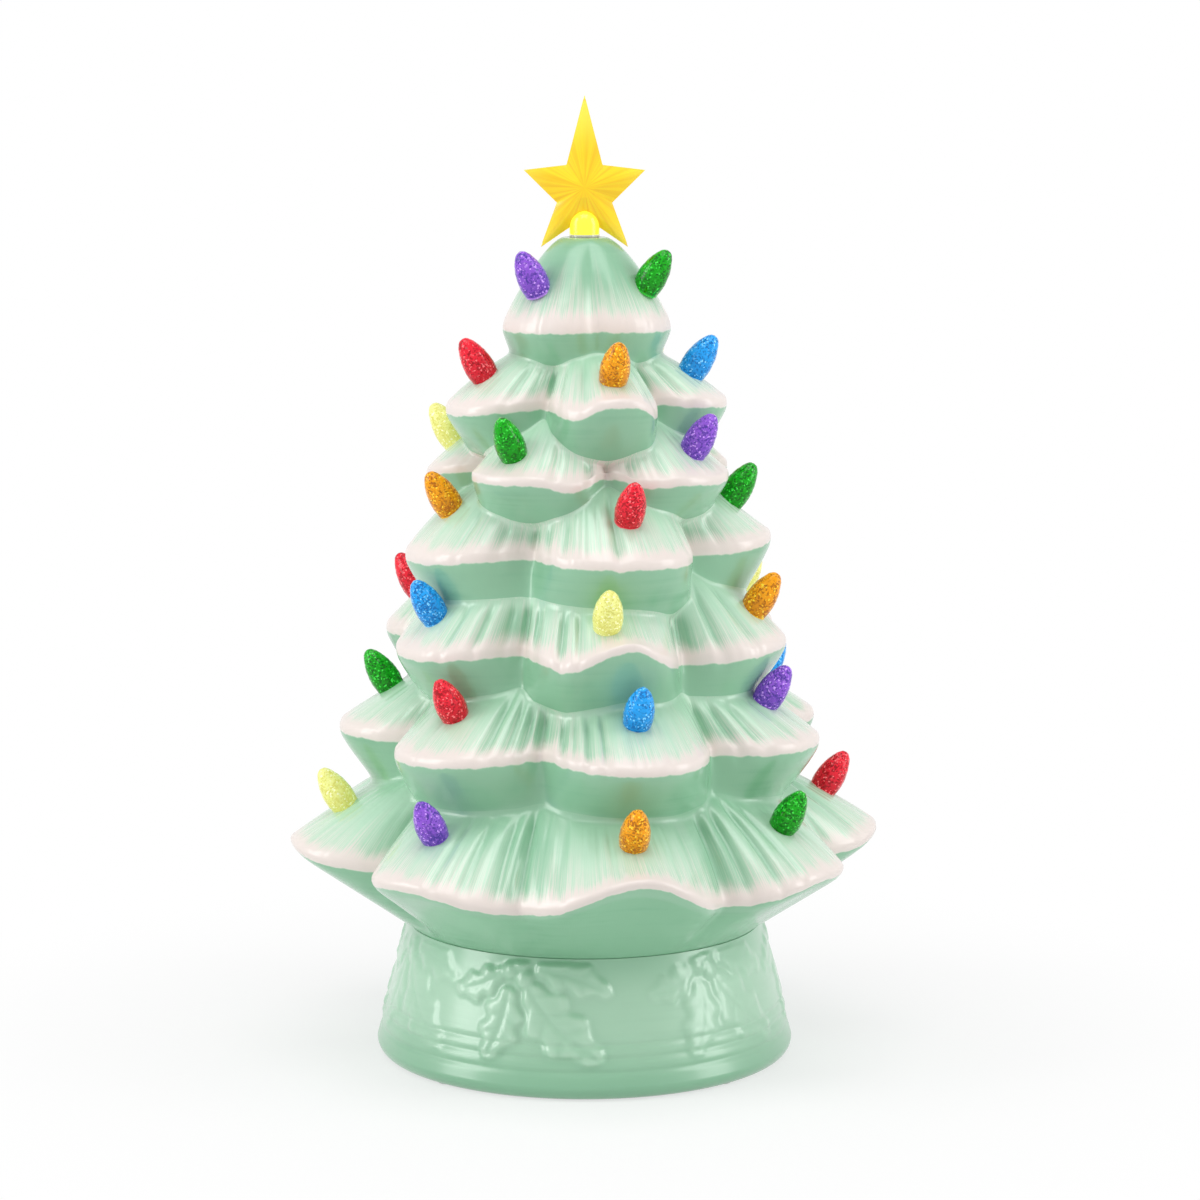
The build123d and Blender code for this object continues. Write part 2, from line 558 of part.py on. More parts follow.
def lamp_post():
    """Hollow post with its head under the plate and a slot where the lamp's leads come out."""
    post = disc(POST_RADIUS, PLATE_BOTTOM, POST_HEIGHT)
    post += disc(POST_HEAD_RADIUS, PLATE_BOTTOM - POST_HEAD_THICKNESS, POST_HEAD_THICKNESS)
    post -= disc(POST_BORE_RADIUS, PLATE_BOTTOM + PLATE_THICKNESS, POST_HEIGHT)
    slot_middle = BOARD_BOTTOM + BOARD_THICKNESS + LEAD_RUN_HEIGHT
    slot = Box(POST_SLOT_WIDTH, POST_RADIUS + CUT_OVERRUN, POST_SLOT_HEIGHT,
               align=(Align.CENTER, Align.MIN, Align.CENTER))
    return post - Pos(0, 0, slot_middle) * slot


def deck_washer():
    return disc(WASHER_RADIUS, BASE_TOP, WASHER_THICKNESS) - disc(
        POST_RADIUS + POST_CLEARANCE, BASE_TOP - CUT_OVERRUN, WASHER_THICKNESS + 2 * CUT_OVERRUN)


def deck_nut():
    bottom = BASE_TOP + WASHER_THICKNESS
    hexagon = RegularPolygon(NUT_WIDTH / 2, 6, major_radius=False)
    nut = Pos(0, 0, bottom) * extrude(hexagon, NUT_THICKNESS)
    return nut - disc(POST_RADIUS + FIT_CLEARANCE, bottom - CUT_OVERRUN, NUT_THICKNESS + 2 * CUT_OVERRUN)


def lamp_socket():
    """Cup on top of the post: a sleeve below, and a stepped cup above that holds board and cover."""
    height = SOCKET_SLEEVE + SOCKET_FLOOR + SOCKET_WELL_DEPTH + SOCKET_CUP_DEPTH
    cup_radius = SOCKET_RADIUS - SOCKET_WALL
    socket = disc(SOCKET_RADIUS, SOCKET_BOTTOM, height)
    socket -= disc(POST_RADIUS + FIT_CLEARANCE, SOCKET_BOTTOM - CUT_OVERRUN, SOCKET_SLEEVE + CUT_OVERRUN)
    socket -= disc(POST_BORE_RADIUS, SOCKET_BOTTOM, height)
    socket -= disc(cup_radius - SOCKET_STEP, POST_TOP + SOCKET_FLOOR, height)
    return socket - disc(cup_radius, LED_BOARD_BOTTOM, height)


def led_board():
    board = disc(LED_BOARD_RADIUS, LED_BOARD_BOTTOM, LED_BOARD_THICKNESS)
    chip = block(LED_SIZE, LED_SIZE, LED_HEIGHT, (0, 0), COVER_BOTTOM)
    for chip_place in PolarLocations(LED_CIRCLE_RADIUS, LED_COUNT):
        board += chip_place * chip
    return board


def cover_outline(inset):
    """Half profile of the lamp cover, drawn in by inset."""
    radius = COVER_RADIUS - inset
    height = COVER_HEIGHT - inset
    belly = (radius, COVER_BOTTOM + COVER_BELLY_SHARE * height)
    shoulder = (COVER_SHOULDER_RADIUS_SHARE * radius, COVER_BOTTOM + COVER_SHOULDER_SHARE * height)
    mouth = (LED_BOARD_RADIUS - inset, COVER_BOTTOM)
    neck = (LED_BOARD_RADIUS - inset, COVER_BOTTOM + SOCKET_CUP_DEPTH)
    tip = (0, COVER_BOTTOM + height)
    outline = Polyline(tip, (0, COVER_BOTTOM), mouth, neck)
    return outline + Spline(neck, belly, shoulder, tip, tangents=((0, 1), (-1, 0)))


def lamp_cover():
    """Frosted flame-shaped cover over the light board, open at the mouth."""
    return turned(cover_outline(0)) - turned(cover_outline(COVER_WALL))


def lamp_leads():
    """Two leads from the circuit board, in through the post's slot and up its bore to the light board."""
    board_top = BOARD_BOTTOM + BOARD_THICKNESS
    far = BOARD_CENTRE_Y - LEAD_EDGE_SHARE * BOARD_WIDTH
    leads = []
    for side in (-1, 1):
        x = side * LEAD_SPACING / 2
        run = board_top + LEAD_RUN_HEIGHT
        path = FilletPolyline((x, 0, LED_BOARD_BOTTOM), (x, 0, run), (x, far, run), (x, far, board_top),
                              radius=LEAD_BEND_RADIUS)
        section = Plane((x, 0, LED_BOARD_BOTTOM), z_dir=(0, 0, -1)) * Circle(LEAD_RADIUS)
        leads.append(sweep(section, path))
    return leads


def solids_of(piece):
    """The piece's solids, from one shape or from a list of them."""
    shapes = piece if isinstance(piece, list) else [piece]
    return [solid for shape in shapes for solid in shape.solids()]


parts["tree_shell"] = tree_shell()
bulb_body = bulb()
for tier_index, row in enumerate(BOUGHS):
    for place, (seat, bough) in enumerate(zip(Tier(tier_index).seats(), row)):
        parts[f"bulb_row{tier_index + 1}_{place + 1}_{bough[1]}"] = seat * bulb_body
for make in (star, star_hub, star_peg, base_shell, foot_pads, bottom_plate, battery_door, battery_cells,
             battery_contacts, circuit_board, board_screws, switch_slider, lamp_post, deck_washer,
             deck_nut, lamp_socket, led_board, lamp_cover, lamp_leads):
    parts[make.__name__] = make()

os.makedirs("parts", exist_ok=True)
for name, piece in parts.items():
    solids = solids_of(piece)
    export_step(solids[0] if len(solids) == 1 else Compound(solids), f"parts/{name}.step")
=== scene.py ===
# Ceramic christmas tree: mint glaze, brushed snow, glitter bulbs and a yellow star over the CAD frame.
import math

import bmesh
import bpy
import numpy as np
from mathutils import Matrix, Vector


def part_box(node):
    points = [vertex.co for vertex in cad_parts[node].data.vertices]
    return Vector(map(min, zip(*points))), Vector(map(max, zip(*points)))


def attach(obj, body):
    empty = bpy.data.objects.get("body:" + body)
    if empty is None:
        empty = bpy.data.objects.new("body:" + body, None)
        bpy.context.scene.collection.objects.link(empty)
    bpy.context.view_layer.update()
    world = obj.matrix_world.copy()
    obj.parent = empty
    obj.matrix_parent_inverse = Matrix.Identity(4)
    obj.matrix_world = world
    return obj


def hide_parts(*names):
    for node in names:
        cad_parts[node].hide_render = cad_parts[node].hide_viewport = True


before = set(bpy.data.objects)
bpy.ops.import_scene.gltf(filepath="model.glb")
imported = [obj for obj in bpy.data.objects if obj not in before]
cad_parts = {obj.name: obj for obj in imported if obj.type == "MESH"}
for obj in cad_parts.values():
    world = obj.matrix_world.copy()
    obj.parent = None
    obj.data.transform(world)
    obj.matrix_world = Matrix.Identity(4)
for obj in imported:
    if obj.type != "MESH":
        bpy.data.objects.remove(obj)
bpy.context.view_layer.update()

MM = 0.001

# Camera, worked out from the base's ellipse and the rings of bulbs in the photograph
PHOTO_PIXELS = 1200
FOCAL_PIXELS = 3921
AXIS_PIXEL_X = 584.5
CAMERA_DISTANCE = 1.640
CAMERA_HEIGHT = 0.454
CAMERA_PITCH = 9.0
SENSOR_MM = 36.0

# Tree form, in the frame's own sizes
foot_corner, top_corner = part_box("tree_shell")
TREE_FOOT = foot_corner.z
TREE_TOP = top_corner.z
TREE_HEIGHT = TREE_TOP - TREE_FOOT
TREE_RADIUS = 127 * MM
FOOT_RADIUS = 75 * MM
LIP_THICKNESS = 2.4 * MM
PEG_HOLE_RADIUS = 4.2 * MM
PEG_HOLE_DEPTH = 9 * MM

# Bough tiers from the cap down, as shares of the tree's radius and height
LIP_RADII = np.array((0.291, 0.476, 0.528, 0.622, 0.693, 0.824, 1.0)) * TREE_RADIUS
LIP_LEVELS = TREE_FOOT + np.array((0.878, 0.773, 0.662, 0.564, 0.429, 0.293, 0.133)) * TREE_HEIGHT
ROOT_RADII = np.array((0.071, 0.157, 0.268, 0.346, 0.409, 0.457, 0.551)) * TREE_RADIUS
ROOT_LEVELS = TREE_FOOT + np.array((1.0, 0.857, 0.760, 0.664, 0.540, 0.389, 0.244)) * TREE_HEIGHT
HEM_RADII = np.append(np.array((0.213, 0.340, 0.390, 0.465, 0.512, 0.622)) * TREE_RADIUS, FOOT_RADIUS)
HEM_LEVELS = TREE_FOOT + np.array((0.802, 0.671, 0.588, 0.444, 0.313, 0.169, 0.0)) * TREE_HEIGHT
SEAT_SHARES = (0.69, 0.62, 0.62, 0.49, 0.64, 0.52, 0.58)
CAP_CROWN_POWER = 1.5
BOUGH_CROWN_POWER = 1.1
LOBE_POWER = 2.5
LIFT_POWER = 4
LIP_LIFT = 10 * MM
UNDERSIDE_POWER = 1.25
VALLEY_ROUND_SHARE = 0.10
CLEFT_START_SHARE = 0.70

# Boughs of each tier: degrees from the front towards +X, bulb's colour, lip's lift as a share of LIP_LIFT
BOUGHS = (
    ((-43.5, "purple", 0), (63.6, "green", 0), (190, "red", 0)),
    ((-66, "red", -0.35), (15, "gold", 0.35), (79, "blue", -0.1), (145, "clear", 0),
     (206, "green", 0)),
    ((-97, "clear", 0), (-32, "green", 0.40), (55, "purple", 0.2), (122, "red", 0),
     (190, "gold", 0)),
    ((-65, "gold", -0.3), (17, "red", 0), (88, "green", 0.3), (160, "blue", 0),
     (228, "purple", 0)),
    ((-110, "red", 0), (-55, "blue", -0.15), (7, "clear", 0.55), (70, "gold", 0),
     (118, "clear", 0), (184, "green", 0)),
    ((-92, "green", 0), (-40, "red", -0.1), (15, "blue", -0.1), (66, "purple", 0),
     (112, "blue", 0), (165, "gold", 0), (218, "red", 0)),
    ((-78, "clear", 0), (-36, "purple", -0.15), (11, "gold", 0.5), (52, "green", -0.25),
     (97, "red", 0), (143, "clear", 0), (190, "purple", 0), (236, "blue", 0)),
)
# Valley after each bough: share of the lip's radius, lift as a share of LIP_LIFT
VALLEYS = (
    ((0.80, 0.05), (0.80, 0), (0.80, 0)),
    ((0.62, 0), (0.64, 0.1), (0.66, 0), (0.66, 0), (0.64, -0.1)),
    ((0.67, 0.45), (0.68, 0.5), (0.68, 0.45), (0.68, 0.45), (0.68, 0.45)),
    ((0.69, 0.1), (0.69, 0), (0.70, 0), (0.70, 0), (0.72, -0.1)),
    ((0.80, 0), (0.72, 0.15), (0.74, -0.35), (0.76, 0), (0.74, 0), (0.72, 0)),
    ((0.72, -0.1), (0.77, 0.15), (0.77, 0), (0.75, 0), (0.76, 0), (0.76, 0), (0.74, 0)),
    ((0.76, -0.5), (0.90, -0.9), (0.86, -1.0), (0.76, -0.5), (0.80, -0.4), (0.80, -0.4),
     (0.80, -0.4), (0.78, -0.4)),
)

# Waves that the glaze adds to the snowy lips: tier, degrees from the front, half width in degrees, lift
LIP_WAVES = (
    (1, -4, 8, -3.8 * MM),
    (1, 33, 7, -4.2 * MM),
    (2, -5, 8, -3.8 * MM),
    (2, 27, 7, -2.5 * MM),
    (4, -4, 8, -5.0 * MM),
    (4, 14.5, 7, 3.5 * MM),
)

# Rounding of lips and creases, and the lap of one casting under the next
CREASE_SAMPLES = 90
CREASE_SPREAD = 7.0
CREASE_SOFTNESS = 0.5
CREASE_TOP_ROWS = 8
CREASE_UNDER_ROWS = 6
CREASE_PASSES = 14
LIP_SOFTNESS = [0.55, 0.7]
UNDER_LIP_SOFTNESS = [0.7, 0.4]
LIP_PASSES = 3
LAP_ROWS = 2
LAP_SINK = 0.25 * MM
BISECTIONS = 22

# Rows of each tier's top and underside, drawn together at both ends
TOP_ROWS = 24
UNDER_ROWS = 11
ROWS_PER_TIER = TOP_ROWS + UNDER_ROWS
ROW_EASE_SHARE = 0.55
# Castings that make up the tree's skin: name, first tier, tier after the last, columns
SKIN_BANDS = (("boughs_upper", 0, 3, 720), ("boughs_middle", 3, 5, 840), ("boughs_lower", 5, 7, 1020))
# Inside wall of the tree: share of its height, share of its radius
LINING_SHARES = ((0.0, 0.488), (0.12, 0.56), (0.21, 0.53), (0.35, 0.44), (0.50, 0.39), (0.62, 0.32),
                 (0.71, 0.27), (0.83, 0.16), (0.95, 0.06))
LINING_ROWS = 7
LINING_TOP_SHARE = 0.95

# Flutes down the boughs: fine ones all round, deep ones listed at the front and seeded at the back
FLUTE_SEED = 7
FLUTE_RADIUS_SHARE = 0.8
FINE_PITCH = 3.4 * MM
FINE_STRAY_SHARE = 0.8
FINE_WIDTH = 1.0 * MM
FINE_WIDTH_SHARES = (0.6, 1.5)
FINE_DEPTH = 0.35 * MM
FLUTE_WIDTH = 1.9 * MM
FLUTE_DEPTH = 2.3 * MM
FRONT_HALF_ANGLE = 80
FRONT_WIDTH_SHARES = (0.8, 1.2)
BACK_STRAY = 4
BACK_WIDTH_SHARES = (0.8, 1.3)
BACK_DEPTH_SHARES = (0.4, 1.1)
# Deep flutes of each tier at the front: degrees, share of the full depth
FRONT_FLUTE_SHARES = (
    ((-62, 0.15), (-25, 0.12), (-8, 0.1), (6, 0.12), (22, 0.12), (78, 0.15)),
    ((-40, 0.6), (-24, 1.0), (-13, 0.7), (0, 0.4), (33, 0.5), (47, 1.0), (58, 0.7)),
    ((-64, 1.0), (-52, 0.7), (-12, 0.5), (2, 0.8), (11.5, 1.0), (22, 0.8), (34, 0.5), (75, 0.7)),
    ((-46, 0.4), (-34, 0.5), (-22, 1.0), (-14, 0.5), (-6.6, 0.6), (11, 0.8), (38, 0.4), (52, 1.0),
     (62, 0.6)),
    ((-44, 0.6), (-36, 0.8), (-29, 0.8), (-23.5, 1.1), (-16.6, 0.9), (-6.7, 0.9), (-1.2, 0.6), (34, 0.9),
     (39.7, 1.1), (48.7, 0.9), (58, 0.6)),
    ((-66, 0.8), (-25.4, 0.8), (-21, 0.8), (-17.4, 0.9), (-13.5, 1.1), (-5.7, 0.8), (-2.6, 0.5),
     (1.3, 0.8), (5.3, 0.6), (41, 1.0), (46, 0.9), (51, 0.8), (60, 0.4)),
    ((-57, 0.8), (-30, 0.4), (-24, 0.5), (-18, 0.6), (-13.5, 1.1), (-5, 0.4), (24, 0.3), (32, 1.0),
     (36.3, 0.9), (41.5, 0.9), (45.6, 0.6), (75, 0.8)),
)
# Deep flutes round a valley at the back: share of the way to the bough's middle, share of the full depth
BACK_FLUTE_SHARES = ((-0.42, 0.6), (-0.20, 0.9), (0.02, 1.1), (0.24, 0.9), (0.46, 0.6))
# Where the flutes grow and die away, as shares of the way along the top and the underside
FLUTE_GROWTH = (0.0, 0.30)
CAP_FLUTE_GROWTH = (0.55, 0.95)
LIP_FLUTE_START = 0.75
LIP_FLUTE_LOSS = 0.45
UNDER_FLUTE_SHARE = 0.55
UNDER_FLUTE_END = 0.35
UNDER_RISE_SHARE = 0.5
# Painted shade in the clefts between boughs, which also thins the snow and haze there, grown over a share of
# the way down
CLEFT_SHADE = 0.9
CLEFT_GROWTH = (0.0, 0.5)

# Base
BASE_TOP = TREE_FOOT
BASE_TOP_RADIUS = 75.5 * MM
BASE_HEEL_RADIUS = 89 * MM
BASE_FOOT_RADIUS = 84 * MM
BASE_HEEL_HEIGHT = 4.5 * MM
BASE_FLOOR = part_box("base_shell")[0].z
BASE_EDGE = 0.4 * MM
BASE_COLUMNS = 900
BASE_SIDE_ROWS = 92
BASE_HEEL_ROWS = 11
BASE_SHARP_ANGLE = 50
GROOVE_SHARES = (0.19, 0.29, 0.385)
GROOVE_DEPTH = 0.65 * MM
GROOVE_WIDTH = 1.1 * MM
# Rings of the inside of the base in mm, from the floor up to the deck and the collar: radius, height
BASE_INSIDE = ((78.0, 1.5), (78.0, 6.0), (74.0, 6.0), (74.0, 10.0), (81.9, 14.0), (71.8, 52.0), (5.3, 52.0),
               (5.3, 57.0), (57.2, 57.0), (57.2, 62.0), (61.2, 62.0), (61.2, 57.0))

# Holly sprigs round the base: degrees from the front, share of the full depth
SPRIGS = ((-20, 1.0), (40, 0.42), (92, 0.5), (143, 0.6), (194, 0.6), (246, 0.6), (291, 0.4))
SPRIG_HEIGHT = 50 * MM
# Leaves of a sprig in mm: start, tip, width and bend
LEAVES = (
    ((4, -4), (36, -34), 25, -2.5),
    ((7, 3), (41, -7), 17, 2.0),
    ((-4, -5), (-12, -35), 21, 2.0),
    ((-7, 1), (-31, -9), 15, 2.0),
)
# Berries of a sprig in mm: place and radius
BERRIES = ((-4.0, 1.5, 4.0), (2.5, -1.5, 4.2), (0.5, 5.0, 3.8))
LEAF_DEPTH = 2.1 * MM
BERRY_DEPTH = 2.8 * MM
LEAF_ROOT_POWER = 0.85
LEAF_SWELL_POWER = 0.6
LEAF_EDGE = 1.3 * MM
LEAF_SHOULDER = 4 * MM
LEAF_EDGE_SHARE = 0.7
SCALLOPS = 3.2
SCALLOP_DEPTH_SHARE = 0.30
MIDRIB_WIDTH = 0.8 * MM
MIDRIB_DEPTH_SHARE = 0.5
VEINS = 4.5
VEIN_SLANT = 1.6
VEIN_WIDTH_SHARE = 0.09
VEIN_DEPTH_SHARE = 0.35
VEIN_START = 2 * MM
RELIEF_SOFTENING = 5
RELIEF_FADE = (3 * MM, 0.5 * MM)
# Relief's hollows darker where glaze pools and as painted shade, its edges paler where glaze breaks thin and
# as a painted highlight: blur passes, depth
POOL_AND_SHADE_SPREAD = 26
POOL_AND_SHADE_DEPTH = 0.45 * MM

# Bulbs
BULB_RADIUS = 6.3 * MM
BULB_HEIGHT = 20 * MM
BULB_TILT = 33
BULB_SINK = 1.0 * MM
BULB_SEED = 5
BULB_RINGS = 46
BULB_COLUMNS = 34
FACET_SCALE = 620
FACET_DEPTH = 0.35 * MM
FACET_START_SHARES = (0.06, 0.14)
# Profile of a bulb: share of its height, share of its radius
BULB_PROFILE_SHARES = ((0.0, 0.92), (0.05, 0.93), (0.16, 0.98), (0.30, 1.0), (0.55, 0.90), (0.75, 0.70),
                       (0.90, 0.46), (0.965, 0.28), (1.0, 0.0))

# Star
STAR_REACH = 38.1 * MM
STAR_CENTRE = 368.4 * MM
STAR_RIM = 3.0 * MM
STAR_MIDDLE = 13.0 * MM
# Points and notches of half the star: degrees from the top, share of its reach
STAR_HALF_SHARES = ((0, 1.0), (39.2, 0.312), (74.3, 0.690), (119.1, 0.346), (143.8, 0.810), (180, 0.328))
# Flats along the ridges, near the middle and at the tip: share of the arm, half width
STAR_FLATS = ((0.13, 1.5 * MM), (0.93, 0.42 * MM))
STAR_FLAT_SINK = 0.35 * MM
STAR_BEVEL = 0.3 * MM
STAR_SHARP_ANGLE = 28
STAR_NOTCH_TOP = 355.8 * MM
STAR_NOTCH_SEGMENTS = 40


def smoothstep(low, high, x):
    t = np.clip((x - low) / (high - low), 0, 1)
    return t * t * (3 - 2 * t)


def wrap_degrees(angle):
    return (angle + 180) % 360 - 180


def link(name, data):
    """New object in the scene, from a mesh, a light or a camera."""
    item = bpy.data.objects.new(name, data)
    bpy.context.scene.collection.objects.link(item)
    return item


class BoughTier:
    """One tier of boughs, sampled along columns of constant angle round the trunk's axis."""

    def __init__(self, index, theta):
        self.index = index
        self.theta = theta
        self.angles = tuple(row[0] for row in BOUGHS[index])
        self.crown = BOUGH_CROWN_POWER if index else CAP_CROWN_POWER
        self.curl = UNDERSIDE_POWER if index < len(BOUGHS) - 1 else 1.0
        self.root_r, self.root_z = ROOT_RADII[index], ROOT_LEVELS[index]
        self.hem_r, self.hem_z = HEM_RADII[index], HEM_LEVELS[index]
        offset, bough, after = self.bough_places()
        valley, valley_lift = np.array(VALLEYS[index])[after].T
        bough_lift = np.array([row[2] for row in BOUGHS[index]])[bough]
        swell = 1 - offset ** LOBE_POWER
        crest = 0.5 + 0.5 * np.cos(math.pi * offset)
        self.lip_r = LIP_RADII[index] * (valley + (1 - valley) * swell)
        self.lift = LIP_LIFT * (valley_lift + (bough_lift - valley_lift) * crest)
        for tier, angle, half_width, lift in LIP_WAVES:
            if tier == index:
                self.lift = self.lift + lift * np.exp(-(wrap_degrees(theta - angle) / half_width) ** 2)
        self.level_z = LIP_LEVELS[index]
        self.lip_z = self.level_z + self.lift
        self.cleft = smoothstep(CLEFT_START_SHARE, 1.0, offset) if index else np.zeros_like(offset)
        self.flute = self.flutes()

    def bough_places(self):
        """By column: share of the way to the valley, its bough, and the bough before that valley."""
        count = len(self.angles)
        middles = np.array([a + turn for turn in (-360, 0, 360) for a in self.angles], float)
        following = np.searchsorted(middles, self.theta, side="right")
        low, high = middles[following - 1], middles[following]
        half = (high - low) / 2
        left = self.theta - low < half
        offset = np.where(left, self.theta - low, high - self.theta) / half
        near = np.sqrt((1 - offset) ** 2 + VALLEY_ROUND_SHARE ** 2) - VALLEY_ROUND_SHARE
        full = math.sqrt(1 + VALLEY_ROUND_SHARE ** 2) - VALLEY_ROUND_SHARE
        return 1 - near / full, np.where(left, following - 1, following) % count, (following - 1) % count

    def flutes(self):
        """Height of the flutes that run down the tier's top, by column: negative in the grooves."""
        rng = np.random.default_rng(FLUTE_SEED + self.index)
        radius = LIP_RADII[self.index] * FLUTE_RADIUS_SHARE
        height = np.zeros_like(self.theta)

        def carve(place, width, depth):
            arc = np.radians(wrap_degrees(self.theta - place)) * radius
            return depth * np.exp(-(arc / width) ** 2)

        count = int(2 * math.pi * radius / FINE_PITCH)
        for i in range(count):
            place = -180 + 360 * (i + FINE_STRAY_SHARE * rng.random()) / count
            height -= carve(place, FINE_WIDTH * rng.uniform(*FINE_WIDTH_SHARES), FINE_DEPTH * rng.random())
        for place, share in FRONT_FLUTE_SHARES[self.index]:
            height -= carve(place, FLUTE_WIDTH * rng.uniform(*FRONT_WIDTH_SHARES), FLUTE_DEPTH * share)
        for middle, following in zip(self.angles, self.angles[1:] + (self.angles[0] + 360,)):
            half = (following - middle) / 2
            for along, share in BACK_FLUTE_SHARES:
                place = middle + half + along * half + BACK_STRAY * (rng.random() - 0.5)
                width = FLUTE_WIDTH * rng.uniform(*BACK_WIDTH_SHARES)
                depth = FLUTE_DEPTH * share * rng.uniform(*BACK_DEPTH_SHARES)
                if abs(wrap_degrees(place)) > FRONT_HALF_ANGLE:
                    height -= carve(place, width, depth)
        return height - height.mean()

    def top(self, t):
        r = self.root_r + (self.lip_r - self.root_r) * t
        z = self.root_z + (self.level_z - self.root_z) * t ** self.crown + self.lift * t ** LIFT_POWER
        return r, z

    def under(self, s):
        start = self.lip_z - LIP_THICKNESS
        r = self.lip_r + (self.hem_r - self.lip_r) * s ** self.curl
        return r, start + (self.hem_z - start) * s

    def share_at_height(self, z):
        low, high = np.zeros_like(z), np.ones_like(z)
        for _ in range(BISECTIONS):
            middle = (low + high) / 2
            above = self.top(middle)[1] > z
            low, high = np.where(above, middle, low), np.where(above, high, middle)
        return (low + high) / 2

    def radius_at_height(self, z):
        r = self.root_r + (self.lip_r - self.root_r) * self.share_at_height(z)
        return np.where(z > self.root_z, 0, r)


def spread_round(values, degrees):
    """Values by column, blurred round the tree."""
    turn = np.fft.rfftfreq(len(values)) * degrees / 360 * len(values)
    return np.fft.irfft(np.fft.rfft(values) * np.exp(-2 * (math.pi * turn) ** 2), len(values))


def crease_between(upper, lower):
    """Where the underside of one tier meets the top of the next: shares along each, by column."""
    shares = np.linspace(0, 1, CREASE_SAMPLES)[:, None]
    r, z = upper.under(shares)
    gap = r - lower.radius_at_height(z)
    first = np.argmax(gap <= 0, axis=0)
    columns = np.arange(len(upper.theta))
    before = np.maximum(first - 1, 0)
    g0, g1 = gap[before, columns], gap[first, columns]
    part = np.where(first > 0, g0 / np.maximum(g0 - g1, 1e-9), 0)
    s = (before + part) / (len(shares) - 1)
    s = np.minimum(s, spread_round(s, CREASE_SPREAD))
    return s, lower.share_at_height(upper.under(s)[1])


def eased(count):
    """Shares from 0 to 1, closer together at both ends."""
    q = np.linspace(0, 1, count)
    return ((1 - ROW_EASE_SHARE) * q + ROW_EASE_SHARE * (0.5 - 0.5 * np.cos(math.pi * q)))[:, None]


def fading(count, reach):
    """Softness of a count of rows from a crease on, dying away within its reach."""
    return [CREASE_SOFTNESS * max(0, 1 - i / reach) for i in range(count)]


def smoothed(rows, weight, passes):
    """Rows drawn towards the middle of their neighbours by a weight for each row."""
    for _ in range(passes):
        middle = rows.copy()
        middle[1:-1] = (rows[:-2] + rows[2:]) / 2
        rows = rows + weight * (middle - rows)
    return rows


def skin_rows(theta):
    """Radius, height, lip radius, distance from the lip and ridge height on each row of the tree's skin."""
    tiers = [BoughTier(i, theta) for i in range(len(BOUGHS))]
    start = np.zeros_like(theta)
    radii, heights, ridges, lip_soft, crease_soft = [], [], [], [], []
    for k, tier in enumerate(tiers):
        bottom = k == len(tiers) - 1
        end, following = (np.ones_like(theta), None) if bottom else crease_between(tier, tiers[k + 1])
        slope = np.arctan2(tier.root_z - tier.lip_z, tier.lip_r - tier.root_r)
        q = eased(TOP_ROWS)
        r, z = tier.top(start + (1 - start) * q)
        grown = smoothstep(*(FLUTE_GROWTH if k else CAP_FLUTE_GROWTH), q)
        groove = tier.flute * grown * (1 - LIP_FLUTE_LOSS * smoothstep(LIP_FLUTE_START, 1.0, q))
        radii.append(r + groove * np.sin(slope))
        heights.append(z + groove * np.cos(slope))
        # Ridge height, lowered in the clefts between boughs as painted shade
        ridges.append(groove / FLUTE_DEPTH - CLEFT_SHADE * tier.cleft * smoothstep(*CLEFT_GROWTH, q))
        lip_soft += [0.0] * (TOP_ROWS - len(LIP_SOFTNESS)) + LIP_SOFTNESS
        crease_soft += fading(TOP_ROWS, CREASE_TOP_ROWS) if k else [0] * TOP_ROWS
        q = eased(UNDER_ROWS)
        r, z = tier.under(end * q)
        groove = tier.flute * UNDER_FLUTE_SHARE * (1 - smoothstep(0.0, UNDER_FLUTE_END, q))
        radii.append(r + groove * np.sin(slope))
        heights.append(z + UNDER_RISE_SHARE * groove * np.cos(slope))
        ridges.append(np.zeros_like(groove))
        lip_soft += UNDER_LIP_SOFTNESS + [0.0] * (UNDER_ROWS - len(UNDER_LIP_SOFTNESS))
        crease_soft += [0] * UNDER_ROWS if bottom else fading(UNDER_ROWS, CREASE_UNDER_ROWS)[::-1]
        start = following
    radii, heights = np.vstack(radii), np.vstack(heights)
    for soft, passes in ((lip_soft, LIP_PASSES), (crease_soft, CREASE_PASSES)):
        weight = np.array(soft)[:, None]
        radii, heights = smoothed(radii, weight, passes), smoothed(heights, weight, passes)
    step = np.hypot(np.diff(radii, axis=0), np.diff(heights, axis=0))
    along = np.vstack((np.zeros_like(theta), np.cumsum(step, axis=0)))
    distance = np.zeros_like(along)
    for first in range(0, len(along), ROWS_PER_TIER):
        rows = slice(first, first + ROWS_PER_TIER)
        distance[rows] = along[first + TOP_ROWS - 1] - along[rows]
    return radii, heights, np.repeat(LIP_RADII, ROWS_PER_TIER), distance, np.vstack(ridges)


